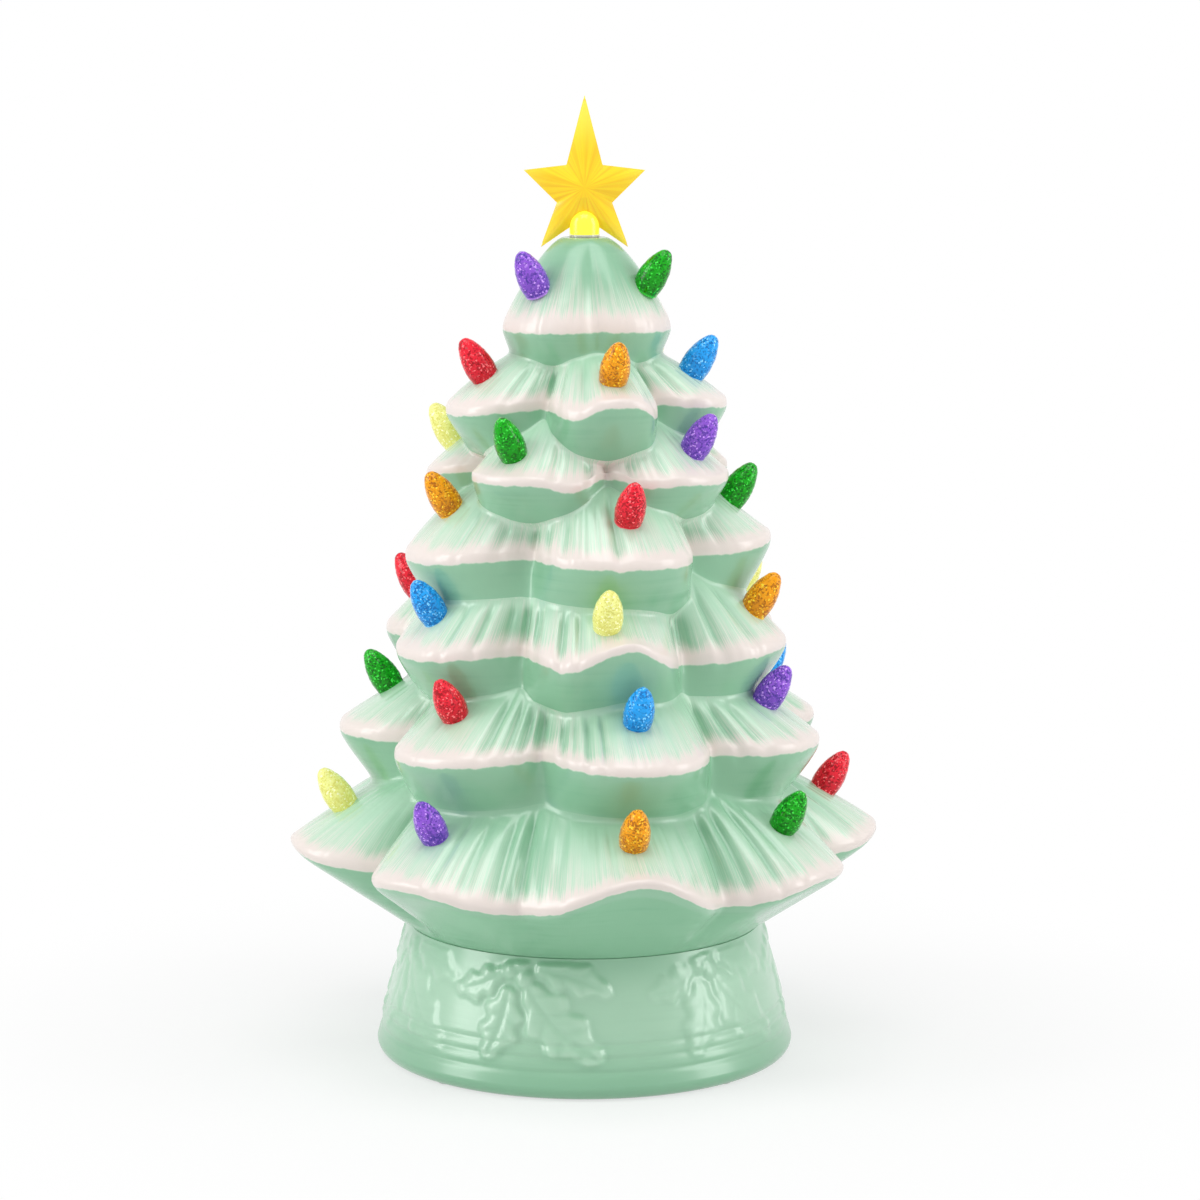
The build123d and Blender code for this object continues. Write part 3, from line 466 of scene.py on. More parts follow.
def ring_mesh(name, theta, rows, ends):
    """Mesh from rings: radius, height, map radius, map distance and ridge of each; ends filled or joined."""
    count = len(theta)
    columns = [np.array([np.broadcast_to(value, count) for value in part]) for part in zip(*rows)]
    r, z, around, distance, ridge = columns
    angle = np.radians(theta)
    verts = np.stack((r * np.sin(angle), -r * np.cos(angle), z), axis=-1)
    i = np.arange(len(rows) if ends == "joined" else len(rows) - 1)
    below = (i + 1) % len(rows)
    j = np.arange(count)
    right = (j + 1) % count
    a, b = i[:, None] * count, below[:, None] * count
    faces = np.stack((a + j, b + j, b + right, a + right), axis=-1).reshape(-1, 4).tolist()
    if ends == "filled":
        faces.append(j.tolist())
        faces.append((j[::-1] + (len(rows) - 1) * count).tolist())
    mesh = bpy.data.meshes.new(name)
    mesh.from_pydata(verts.reshape(-1, 3).tolist(), [], faces)
    upper, lower = distance[i], distance[below]
    upper = np.where((upper < 0) & (lower > 0), lower, upper)
    turn = np.radians(np.stack((theta, theta, theta + 360 / count, theta + 360 / count), axis=-1))
    across = around[i][:, :, None] * turn
    along = np.stack((upper, lower, np.roll(lower, -1, axis=1), np.roll(upper, -1, axis=1)), axis=-1)
    flat = np.zeros((len(mesh.loops), 2), np.float32)
    flat[:across.size] = np.stack((across, along), axis=-1).reshape(-1, 2)
    mesh.uv_layers.new(name="glaze_map").data.foreach_set("uv", flat.ravel())
    values = mesh.attributes.new("ridge", "FLOAT", "POINT").data
    values.foreach_set("value", ridge.astype(np.float32).ravel())
    mesh.polygons.foreach_set("use_smooth", [True] * len(mesh.polygons))
    mesh.update()
    return mesh


def tree_band(name, first, last, columns):
    """One band of tiers as a closed casting with a plain inside wall."""
    theta = -180 + 360 * np.arange(columns) / columns
    skin = skin_rows(theta)
    top, foot = first * ROWS_PER_TIER, last * ROWS_PER_TIER
    for lap in (slice(max(top - LAP_ROWS, 0), top), slice(foot, foot + LAP_ROWS)):
        skin[0][lap] -= LAP_SINK
    rows = list(zip(*skin))[max(top - LAP_ROWS, 0):foot + LAP_ROWS]
    low, high = rows[-1][1].mean(), rows[0][1].mean()
    if not first:
        high = TREE_FOOT + LINING_TOP_SHARE * TREE_HEIGHT
        around, distance = rows[0][2], rows[0][3].max()
        for z in (TREE_TOP, TREE_TOP - PEG_HOLE_DEPTH):
            rows.insert(0, (PEG_HOLE_RADIUS, z, around, distance, 0))
    hem = len(rows) - 1
    levels, shares = np.array(LINING_SHARES).T
    for z in np.linspace(low, high, LINING_ROWS):
        share = np.interp((z - TREE_FOOT) / TREE_HEIGHT, levels, shares)
        rows.append((share * TREE_RADIUS, z, TREE_RADIUS, -TREE_RADIUS, 0))
    mesh = ring_mesh(name, theta, rows, "joined" if first else "filled")
    ring_of_vertex = np.array([edge.vertices[:] for edge in mesh.edges]) // columns
    sharp = mesh.attributes.new("sharp_edge", "BOOLEAN", "EDGE")
    sharp.data.foreach_set("value", (ring_of_vertex == hem).all(axis=1))
    return link(name, mesh)


def leaf_relief(u, w, start, tip, width, bend):
    """Share of the full relief of one holly leaf: scalloped edge, sunk midrib and side veins."""
    reach = np.subtract(tip, start) * MM
    length = np.hypot(*reach)
    du, dw = u - start[0] * MM, w - start[1] * MM
    along = (du * reach[0] + dw * reach[1]) / length ** 2
    inside = np.clip(along, 0, 1)
    across = (dw * reach[0] - du * reach[1]) / length - bend * MM * np.sin(math.pi * inside)
    aside = np.abs(across)
    swell = np.sin(math.pi * inside ** LEAF_ROOT_POWER) ** LEAF_SWELL_POWER
    scallop = 1 - SCALLOP_DEPTH_SHARE * np.sin(math.pi * SCALLOPS * along) ** 2
    edge = 0.5 * width * MM * swell * scallop - aside
    shoulder = LEAF_EDGE_SHARE + (1 - LEAF_EDGE_SHARE) * smoothstep(0, LEAF_SHOULDER, edge)
    midrib = MIDRIB_DEPTH_SHARE * np.exp(-(across / MIDRIB_WIDTH) ** 2)
    beat = np.abs((along * VEINS - aside / (width * MM) * VEIN_SLANT) % 1 - 0.5)
    vein = VEIN_DEPTH_SHARE * np.exp(-(beat / VEIN_WIDTH_SHARE) ** 2) * smoothstep(0, VEIN_START, aside)
    return smoothstep(0, LEAF_EDGE, edge) * shoulder * (1 - midrib) * (1 - vein)


def softened(height, passes):
    """Height field blurred round the base and up its side."""
    for _ in range(passes):
        height = (np.roll(height, 1, 1) + 2 * height + np.roll(height, -1, 1)) / 4
        height[1:-1] = (height[:-2] + 2 * height[1:-1] + height[2:]) / 4
    return height


def holly(theta, z):
    """Relief of the holly sprigs at each height and column of the base's side."""
    height = np.zeros((len(z), len(theta)))
    middle_radius = (BASE_TOP_RADIUS + BASE_HEEL_RADIUS) / 2
    for place, depth in SPRIGS:
        u = (np.radians(wrap_degrees(theta - place)) * middle_radius)[None, :]
        w = (z - SPRIG_HEIGHT)[:, None]
        sprig = np.zeros_like(height)
        for start, tip, width, bend in LEAVES:
            sprig = np.maximum(sprig, LEAF_DEPTH * leaf_relief(u, w, start, tip, width, bend))
        for x, y, radius in BERRIES:
            away = np.hypot(u - x * MM, w - y * MM) / (radius * MM)
            sprig = np.maximum(sprig, BERRY_DEPTH * np.sqrt(np.clip(1 - away ** 2, 0, 1)))
        height += depth * sprig
    height = softened(height, RELIEF_SOFTENING)
    start, end = (BASE_TOP - below for below in RELIEF_FADE)
    return height * (1 - smoothstep(start, end, z))[:, None]


def base_casting(name):
    """Round base with its rounded heel, tooled grooves, holly relief and hollow inside."""
    theta = -180 + 360 * np.arange(BASE_COLUMNS) / BASE_COLUMNS
    heel = BASE_FLOOR + BASE_HEEL_HEIGHT
    z = np.linspace(BASE_TOP, heel, BASE_SIDE_ROWS)
    r = BASE_TOP_RADIUS + (BASE_HEEL_RADIUS - BASE_TOP_RADIUS) * (BASE_TOP - z) / (BASE_TOP - heel)
    relief = holly(theta, z)
    for share in GROOVE_SHARES:
        groove = BASE_FLOOR + share * (BASE_TOP - BASE_FLOOR)
        r -= GROOVE_DEPTH * np.exp(-((z - groove) / GROOVE_WIDTH) ** 2)
    # Hollows below the blurred relief get pooled glaze and painted shade, raised edges thin glaze and a
    # painted highlight
    ridge = (relief - softened(relief, POOL_AND_SHADE_SPREAD)) / POOL_AND_SHADE_DEPTH
    rows = [(*row, BASE_HEEL_RADIUS, 0, pool_and_shade) for *row, pool_and_shade in zip(r[:, None] + relief, z, ridge)]
    inside = [(radius * MM, level * MM) for radius, level in BASE_INSIDE]
    out, down = BASE_HEEL_RADIUS - BASE_FOOT_RADIUS, heel - BASE_EDGE
    turns = np.linspace(0, math.pi / 2, BASE_HEEL_ROWS + 1)[1:]
    edge = [(BASE_FOOT_RADIUS + out * math.cos(turn), heel - down * math.sin(turn)) for turn in turns]
    rows += [(radius, level, BASE_HEEL_RADIUS, 0, 0) for radius, level in edge + inside]
    mesh = ring_mesh(name, theta, rows, "joined")
    mesh.set_sharp_from_angle(angle=math.radians(BASE_SHARP_ANGLE))
    return link(name, mesh)


class Graph:
    """Adds nodes to a node tree in few words; sockets given as inputs are linked, other values are set."""

    def __init__(self, tree):
        self.tree = tree

    def put(self, socket, value):
        if isinstance(value, bpy.types.NodeSocket):
            self.tree.links.new(value, socket)
        else:
            socket.default_value = value

    def fill(self, node, **values):
        for key, value in values.items():
            self.put(node.inputs[key.replace("_", " ")], value)

    def add(self, kind, inputs=None, **settings):
        node = self.tree.nodes.new(kind)
        for key, value in settings.items():
            setattr(node, key, value)
        for key, value in (inputs or {}).items():
            self.put(node.inputs[key], value)
        return node

    def out(self, kind, inputs=None, output=0, **settings):
        return self.add(kind, inputs, **settings).outputs[output]

    def math(self, operation, a, b=0.0, c=0.0, clamp=False):
        return self.out("ShaderNodeMath", {0: a, 1: b, 2: c}, operation=operation, use_clamp=clamp)

    def times(self, a, b, plus=0.0, clamp=False):
        return self.math("MULTIPLY_ADD", a, b, plus, clamp)

    def vector(self, operation, a, b=(0, 0, 0), scale=1.0):
        output = "Value" if operation in ("DISTANCE", "LENGTH") else "Vector"
        return self.out("ShaderNodeVectorMath", {0: a, 1: b, 3: scale}, output, operation=operation)

    def part(self, vector, letter):
        return self.out("ShaderNodeSeparateXYZ", {0: vector}, letter)

    def attribute(self, name):
        return self.out("ShaderNodeAttribute", output="Fac", attribute_name=name)

    def noise(self, vector, scale, detail=2.0, rough=0.5):
        inputs = {"Vector": vector, "Scale": scale, "Detail": detail, "Roughness": rough}
        return self.out("ShaderNodeTexNoise", inputs)

    def spread(self, value, low, high, out_low=0.0, out_high=1.0):
        inputs = {0: value, 1: low, 2: high, 3: out_low, 4: out_high}
        return self.out("ShaderNodeMapRange", inputs, interpolation_type="SMOOTHSTEP")

    def mix(self, factor, a, b):
        return self.out("ShaderNodeMix", {0: factor, 6: a, 7: b}, 2, data_type="RGBA")

    def bump(self, height, strength, distance):
        return self.out("ShaderNodeBump", {"Strength": strength, "Distance": distance, "Height": height})

    def group(self, tree, **inputs):
        return self.add("ShaderNodeGroup", inputs, node_tree=tree).outputs


def node_group(name, inputs, outputs, kind="ShaderNodeTree"):
    """Empty node group with named sockets: its graph, what it is given and the sockets of its result."""
    tree = bpy.data.node_groups.new(name, kind)
    for side, sockets in (("INPUT", inputs), ("OUTPUT", outputs)):
        for socket, value in sockets.items():
            tree.interface.new_socket(socket, in_out=side, socket_type=f"NodeSocket{value}")
    given = tree.nodes.new("NodeGroupInput").outputs
    return Graph(tree), given, tree.nodes.new("NodeGroupOutput").inputs


def noise_group(name, noises):
    """Node group with one noise for each name: its scales along the axes per metre, and its detail."""
    g, given, result = node_group(name, {"Vector": "Vector"}, {key: "Float" for key in noises})
    for key, (scales, detail) in noises.items():
        g.put(result[key], g.noise(g.vector("MULTIPLY", given["Vector"], scales), 1.0, detail))
    return g.tree


# Snow, on a map of the lengths round the tree and up from the lip: scales per metre, and fades
BRISTLE_SCALES = (2300, 26, 0)
BRISTLE_ROUGHNESS = 0.68
TUFT_SCALES = (160, 9, 0)
TUFT_REACH = (0.25, 0.75, 0.7, 1.5)
SOLID_FADE = (1.0 * MM, 9.2 * MM, 1.0, 0.0)
STREAK_FADE = (2 * MM, 27 * MM, 1.0, 0.0)
STREAK_LIMITS = (0.36, 0.66)
STREAK_SHARE = 0.76
STREAK_RIDGE_SHARE = 0.10
SNOW_SHARE = 0.95
HEM_WOBBLE = 2.4 * MM
HEM_DROP = 3.4 * MM
HEM_FADE = (-0.4 * MM, 0.6 * MM)
HAZE_FADE = (6 * MM, 62 * MM, 1.0, 0.0)
HAZE_ON_RIDGES = (-1.0, 0.35, -0.05, 0.65)
HAZE_BRISTLE_SHARE = 0.7


def make_snow():
    """Dry-brushed snow: solid at the lip, breaking up into bristle streaks up the bough."""
    g, given, result = node_group("brushed_snow", {"Map": "Vector", "Ridge": "Float"},
                                  {"Snow": "Float", "Haze": "Float", "Bristle": "Float"})
    up = g.part(given["Map"], "Y")
    bristle = g.noise(g.vector("MULTIPLY", given["Map"], BRISTLE_SCALES), 1.0, 3, BRISTLE_ROUGHNESS)
    tuft = g.noise(g.vector("MULTIPLY", given["Map"], TUFT_SCALES), 1.0)
    near = g.math("DIVIDE", up, g.spread(tuft, *TUFT_REACH))
    streak = g.spread(g.times(given["Ridge"], STREAK_RIDGE_SHARE, bristle), *STREAK_LIMITS)
    streak = g.times(streak, g.spread(near, *STREAK_FADE))
    painted = g.times(streak, STREAK_SHARE, g.spread(near, *SOLID_FADE), clamp=True)
    wobble = g.times(tuft, HEM_WOBBLE, -HEM_DROP)
    edge = g.spread(g.math("SUBTRACT", up, wobble), *HEM_FADE)
    g.put(result["Snow"], g.times(painted, g.times(edge, SNOW_SHARE)))
    haze = g.times(g.spread(up, *HAZE_FADE), edge)
    ridge = g.spread(given["Ridge"], *HAZE_ON_RIDGES)
    soft = g.times(bristle, HAZE_BRISTLE_SHARE, ridge, clamp=True)
    g.put(result["Haze"], g.times(haze, soft))
    g.put(result["Bristle"], bristle)
    return g.tree


# Glitter: scales of the foil flecks and of clouds among them per metre, and their shares in the shade
FLECK_SCALE = 1500
FLECK_CLOUD_SCALE = 260
FLECK_CLOUD_SHARE = 0.9
FLECK_SHADE_SHARE = 0.75
FLECK_SHADE_SHIFT = -0.28
# Share of foil cells painted as glints
SPARK_LIMITS = (0.86, 0.98)


def make_glitter():
    """Flecks of cut foil set in clear plastic, a share of them painted as glints."""
    g, given, result = node_group("glitter", {"Vector": "Vector"},
                                  {"Fleck": "Float", "Spark": "Float", "Facet": "Vector"})
    flecks = g.out("ShaderNodeTexVoronoi", {"Vector": given["Vector"], "Scale": FLECK_SCALE}, "Color")
    shade = g.add("ShaderNodeSeparateColor", {0: flecks}).outputs
    cloud = g.noise(given["Vector"], FLECK_CLOUD_SCALE, 1)
    fleck = g.times(shade[0], FLECK_SHADE_SHARE, FLECK_SHADE_SHIFT)
    g.put(result["Fleck"], g.times(cloud, FLECK_CLOUD_SHARE, fleck))
    g.put(result["Spark"], g.spread(shade[1], *SPARK_LIMITS))
    g.put(result["Facet"], g.vector("SUBTRACT", flecks, (0.5, 0.5, 0.5)))
    return g.tree


# Slow clouds and level brush marks in the glaze, and the grain and flow of moulded stock
mottle_group = noise_group("glaze_mottle", {"Cloud": ((38, 38, 38), 3), "Mark": ((14, 14, 420), 2)})
grain_group = noise_group("moulded_grain", {"Grain": ((900, 900, 900), 2), "Flow": ((60, 60, 60), 2)})
snow_group = make_snow()
glitter_group = make_glitter()


def new_material(name):
    """Empty material: its graph, its shader and its object coordinates."""
    material = bpy.data.materials.new(name)
    material.use_nodes = True
    tree = material.node_tree
    tree.nodes.clear()
    graph = Graph(tree)
    shader = graph.add("ShaderNodeBsdfPrincipled")
    graph.add("ShaderNodeOutputMaterial", {"Surface": shader.outputs[0]})
    return material, graph, shader, graph.out("ShaderNodeTexCoord", output="Object")


# Glaze. A shade is given by two limits of a measure and the share of its colour at each
DEEP_MINT = (0.190, 0.450, 0.270, 1)
MINT = (0.292, 0.562, 0.368, 1)
PALE_MINT = (0.580, 0.815, 0.635, 1)
SNOW_WHITE = (0.840, 0.735, 0.695, 1)
MARK_SHARE = 0.35
MOTTLE_LIMITS = ((0.30, 0.72), (0.15, 0.55))
GROOVE_SHADE = (-1.2, 0.6, 0.58, 0.0)
GLAZE_BUMP = (0.10, 0.6 * MM)
CAP_LIP = LIP_LEVELS[0]
CAP_SHADE = (CAP_LIP + 8 * MM, CAP_LIP + 24 * MM, 0.0, 0.30)
CAP_HAZE = (CAP_LIP + 4 * MM, CAP_LIP + 18 * MM, 0.88, 0.06)
SNOW_ROUGHNESS = (0.0, 1.0, 0.22, 0.36)
# Shades of the base from the first to the last: measure, shade, colour
BASE_SHADES = (
    ("level", (2 * MM, 20 * MM, 0.75, 0.0), DEEP_MINT),
    ("level", (8 * MM, 30 * MM, 0.0, 0.38), PALE_MINT),
    # paler on the raised relief, where glaze breaks thin and as a painted highlight
    ("ridge", (0.1, 1.2, 0.0, 0.36), PALE_MINT),
    # painted shade on the base's top under the tree's rim
    ("level", (BASE_TOP - 16 * MM, BASE_TOP, 0.0, 0.55), DEEP_MINT),
)


def glaze_material(name, dress):
    """Mint glaze, darker where it pools in grooves, with painted shade in the clefts between boughs and in
    the hollows of the base's relief; dress is the function that finishes it.
    """
    material, g, shader, place = new_material(name)
    mottle = g.group(mottle_group, Vector=place)
    measures = {"level": g.part(place, "Z"), "ridge": g.attribute("ridge"), "mark": mottle["Mark"]}
    cloud = g.times(mottle["Cloud"], 1 - MARK_SHARE)
    thin = g.times(mottle["Mark"], MARK_SHARE, cloud)
    colour = DEEP_MINT
    for limits in MOTTLE_LIMITS:
        colour = g.mix(g.spread(thin, *limits), colour, MINT)
    # Darker in the flutes' grooves where the glaze pools, with painted shade in the clefts and in the hollows
    # of the base's relief
    colour = g.mix(g.spread(measures["ridge"], *GROOVE_SHADE), colour, DEEP_MINT)
    colour, height = dress(g, shader, colour, measures)
    g.fill(shader, Base_Color=colour, Normal=g.bump(height, *GLAZE_BUMP))
    return material


def snowy_tree(g, shader, colour, measures):
    """Deeper glaze on the cap, haze and snow on the boughs: its colour and the bristles' height."""
    snow = g.group(snow_group, Map=g.out("ShaderNodeUVMap", uv_map="glaze_map"), Ridge=measures["ridge"])
    colour = g.mix(g.spread(measures["level"], *CAP_SHADE), colour, DEEP_MINT)
    haze = g.times(snow["Haze"], g.spread(measures["level"], *CAP_HAZE))
    colour = g.mix(snow["Snow"], g.mix(haze, colour, PALE_MINT), SNOW_WHITE)
    g.fill(shader, Roughness=g.spread(snow["Snow"], *SNOW_ROUGHNESS), Coat_Weight=0.40, Coat_Roughness=0.13)
    return colour, snow["Bristle"]


def bare_base(g, shader, colour, measures):
    """Glaze darker at the base's foot and paler above it, with painted shade at its rim under the tree, and
    paler on the relief where the glaze breaks thin and as a painted highlight: its colour and the marks'
    height.
    """
    for measure, shade, tint in BASE_SHADES:
        colour = g.mix(g.spread(measures[measure], *shade), colour, tint)
    g.fill(shader, Roughness=0.38, Specular_IOR_Level=0.75, Coat_Weight=0.80, Coat_Roughness=0.20)
    return colour, measures["mark"]


# Bulb colours: shade in the depth, body, and the foil's spark, a painted glint
BULB_COLOURS = {
    "red": ((0.34, 0.002, 0.008, 1), (0.80, 0.014, 0.035, 1), (0.98, 0.18, 0.20, 1)),
    "gold": ((0.38, 0.11, 0.001, 1), (0.84, 0.330, 0.002, 1), (1.0, 0.66, 0.04, 1)),
    "blue": ((0.004, 0.13, 0.42, 1), (0.014, 0.34, 0.84, 1), (0.20, 0.62, 1.0, 1)),
    "green": ((0.001, 0.11, 0.002, 1), (0.003, 0.36, 0.004, 1), (0.05, 0.70, 0.06, 1)),
    "purple": ((0.075, 0.035, 0.32, 1), (0.260, 0.090, 0.62, 1), (0.62, 0.34, 0.95, 1)),
    "clear": ((0.64, 0.62, 0.14, 1), (0.80, 0.81, 0.27, 1), (0.96, 0.97, 0.58, 1)),
}
BULB_GLOW = 0.24
FLECK_LIMITS = (0.20, 0.66)
FLECK_TILT = 0.32
SEAT_SHADE = (0.10, 0.75, 0.45, 0.0)
SEAT_RIM = (0.015, 0.06, 0.55, 0.0)


def bulb_material(colour):
    """Plastic full of glitter with painted glints, darker towards its seat, with a light rim there and a
    faint glow.
    """
    material, g, shader, place = new_material(f"bulb_{colour}")
    deep, body, spark = BULB_COLOURS[colour]
    glitter = g.group(glitter_group, Vector=place)
    up = g.attribute("bulb_height")
    tint = g.mix(g.spread(glitter["Fleck"], *FLECK_LIMITS), deep, body)
    tint = g.mix(g.spread(up, *SEAT_SHADE), tint, deep)
    # foil cells painted as glints
    tint = g.mix(glitter["Spark"], tint, spark)
    tint = g.mix(g.spread(up, *SEAT_RIM), tint, spark)
    normal = g.out("ShaderNodeNewGeometry", output="Normal")
    tilted = g.vector("ADD", normal, g.vector("SCALE", glitter["Facet"], scale=FLECK_TILT))
    g.fill(shader, Base_Color=tint, Emission_Color=tint, Emission_Strength=BULB_GLOW, Roughness=0.32,
           Specular_IOR_Level=0.05, Coat_Weight=1.0, Coat_IOR=1.30, Coat_Roughness=0.04,
           Normal=g.vector("NORMALIZE", tilted))
    return material


GRAIN_BUMP = (0.08, 0.2 * MM)


def plain_material(name, dark, light, roughness, more=None):
    """Moulded or pressed stock with a fine grain."""
    material, g, shader, place = new_material(name)
    grain = g.group(grain_group, Vector=place)
    g.fill(shader, Base_Color=g.mix(grain["Flow"], dark + (1,), light + (1,)), Roughness=roughness,
           Normal=g.bump(grain["Grain"], *GRAIN_BUMP), **(more or {}))
    return material


# Star: colours of its stock, streaks and tips; fades are in shares of its reach
STAR_YELLOWS = ((0.86, 0.56, 0.008, 1), (0.98, 0.69, 0.014, 1))
STAR_STREAK = (0.70, 0.36, 0.004, 1)
STAR_STREAK_SCALE = 9.0
STAR_STREAK_LIMITS = (0.40, 0.66)
STAR_STREAK_FADE = (0.20, 0.95, 0.48, 0.0)
STAR_TIP = (0.98, 0.78, 0.085, 1)
STAR_TIP_FADE = (0.35, 1.0)


def star_material():
    """Clear yellow plastic with darker streaks out along the arms, pale tips and a painted glow."""
    material, g, shader, place = new_material("star_yellow")
    flow = g.group(grain_group, Vector=place)["Flow"]
    middle = (0, 0, STAR_CENTRE)
    away = g.math("DIVIDE", g.vector("DISTANCE", place, middle), STAR_REACH)
    toward = g.vector("MULTIPLY", g.vector("SUBTRACT", place, middle), (1, 0, 1))
    lines = g.noise(g.vector("NORMALIZE", toward), STAR_STREAK_SCALE, rough=0.6)
    streak = g.times(g.spread(lines, *STAR_STREAK_LIMITS), g.spread(away, *STAR_STREAK_FADE))
    colour = g.mix(streak, g.mix(flow, *STAR_YELLOWS), STAR_STREAK)
    colour = g.mix(g.spread(away, *STAR_TIP_FADE), colour, STAR_TIP)
    g.fill(shader, Base_Color=colour, Emission_Color=colour, Emission_Strength=0.20, Roughness=0.16,
           Specular_IOR_Level=0.35, Coat_Weight=0.15, Coat_Roughness=0.05)
    return material


def bulb_rows():
    """Geometry nodes that set a bulb on each seat point: lathe profile, cut facets, lean along the axis."""
    sockets = {"Seats": "Geometry", "Radius": "Float", "Height": "Float", "Facet Depth": "Float",
               "Seed": "Int", "Finish": "Material"}
    g, given, result = node_group("bulb_rows", sockets, {"Bulbs": "Geometry"}, "GeometryNodeTree")
    height = g.out("ShaderNodeCombineXYZ", {"Z": given["Height"]})
    line = g.out("GeometryNodeCurvePrimitiveLine", {"End": height})
    line = g.out("GeometryNodeResampleCurve", {"Curve": line, "Count": BULB_RINGS})
    profile = g.add("ShaderNodeFloatCurve", {"Value": g.out("GeometryNodeSplineParameter", output="Factor")})
    curve = profile.mapping.curves[0]
    for along, radius in BULB_PROFILE_SHARES[1:-1]:
        curve.points.new(along, radius)
    curve.points[0].location = BULB_PROFILE_SHARES[0]
    curve.points[len(curve.points) - 1].location = BULB_PROFILE_SHARES[-1]
    profile.mapping.update()
    girth = g.times(profile.outputs[0], given["Radius"])
    circle = g.out("GeometryNodeCurvePrimitiveCircle", {"Resolution": BULB_COLUMNS, "Radius": 1.0})
    body = g.out("GeometryNodeCurveToMesh", {"Curve": line, "Profile Curve": circle, "Scale": girth,
                                             "Fill Caps": True})
    position = g.out("GeometryNodeInputPosition")
    share = g.math("DIVIDE", g.part(position, "Z"), given["Height"])
    body = g.out("GeometryNodeStoreNamedAttribute", {"Geometry": body, "Name": "bulb_height", "Value": share},
                 data_type="FLOAT", domain="POINT")
    cells = g.out("ShaderNodeTexVoronoi", {"Vector": position, "Scale": FACET_SCALE}, "Distance")
    facet = g.times(g.math("SUBTRACT", cells, 0.5), given["Facet Depth"])
    facet = g.times(facet, g.spread(share, *FACET_START_SHARES))
    offset = g.vector("SCALE", g.out("GeometryNodeInputNormal"), scale=facet)
    body = g.out("GeometryNodeSetPosition", {"Geometry": body, "Offset": offset})
    axis = g.out("GeometryNodeInputNamedAttribute", {"Name": "axis"}, data_type="FLOAT_VECTOR")
    lean = g.out("FunctionNodeAlignRotationToVector", {"Vector": axis}, axis="Z")
    spin = g.out("FunctionNodeRandomValue", {2: 0.0, 3: 2 * math.pi, 8: given["Seed"]}, 1, data_type="FLOAT")
    turn = g.out("FunctionNodeAxisAngleToRotation", {"Axis": (0, 0, 1), "Angle": spin})
    rotation = g.out("FunctionNodeRotateRotation", {0: lean, 1: turn}, rotation_space="LOCAL")
    bulbs = g.out("GeometryNodeInstanceOnPoints", {"Points": given["Seats"], "Instance": body,
                                                   "Rotation": rotation})
    bulbs = g.out("GeometryNodeSetShadeSmooth", {0: g.out("GeometryNodeRealizeInstances", {0: bulbs})})
    bulbs = g.out("GeometryNodeSetMaterial", {"Geometry": bulbs, "Material": given["Finish"]})
    g.put(result[0], bulbs)
    return g.tree


def bulb_seats(colour):
    """Seat points and axes of the bulbs of one colour, and the nodes that they stand for."""
    points, axes, nodes = [], [], []
    lean = math.radians(BULB_TILT)
    for index, row in enumerate(BOUGHS):
        seat = SEAT_SHARES[index]
        drop = seat ** (BOUGH_CROWN_POWER if index else CAP_CROWN_POWER)
        r = ROOT_RADII[index] + (LIP_RADII[index] - ROOT_RADII[index]) * seat
        level = ROOT_LEVELS[index] + (LIP_LEVELS[index] - ROOT_LEVELS[index]) * drop
        for place, (angle, tint, lift) in enumerate(row):
            if tint != colour:
                continue
            z = level + LIP_LIFT * lift * seat ** LIFT_POWER
            out = Vector((math.sin(math.radians(angle)), -math.cos(math.radians(angle)), 0))
            axis = out * math.sin(lean) + Vector((0, 0, math.cos(lean)))
            points.append(out * r + Vector((0, 0, z)) - axis * BULB_SINK)
            axes.append(axis)
            nodes.append(f"bulb_row{index + 1}_{place + 1}_{colour}")
    return points, axes, nodes


def settle(piece):
    """Gives a piece the mesh that its modifiers make, and takes the modifiers off."""
    graph = bpy.context.evaluated_depsgraph_get()
    evaluated = piece.evaluated_get(graph)
    mesh = bpy.data.meshes.new_from_object(evaluated, preserve_all_data_layers=True, depsgraph=graph)
    piece.modifiers.clear()
    piece.data = mesh


def bulbs_of(colour, tree):
    """All bulbs of one colour as one piece."""
    points, axes, nodes = bulb_seats(colour)
    mesh = bpy.data.meshes.new(f"bulbs_{colour}_seats")
    mesh.from_pydata(points, [], [])
    mesh.attributes.new("axis", "FLOAT_VECTOR", "POINT").data.foreach_set("vector", np.array(axes).ravel())
    piece = link(f"bulbs_{colour}", mesh)
    modifier = piece.modifiers.new("bulbs", "NODES")
    modifier.node_group = tree
    settings = {"Radius": BULB_RADIUS, "Height": BULB_HEIGHT, "Facet Depth": FACET_DEPTH, "Seed": BULB_SEED,
                "Finish": bulb_material(colour)}
    for item in tree.interface.items_tree:
        if item.name in settings:
            modifier[item.identifier] = settings[item.name]
    settle(piece)
    piece.data.name = piece.name
    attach(piece, "tree")
    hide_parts(*nodes)


def mesh_from(build, name):
    """Mesh with what was built in bmesh."""
    mesh = bpy.data.meshes.new(name)
    build.to_mesh(mesh)
    build.free()
    return mesh


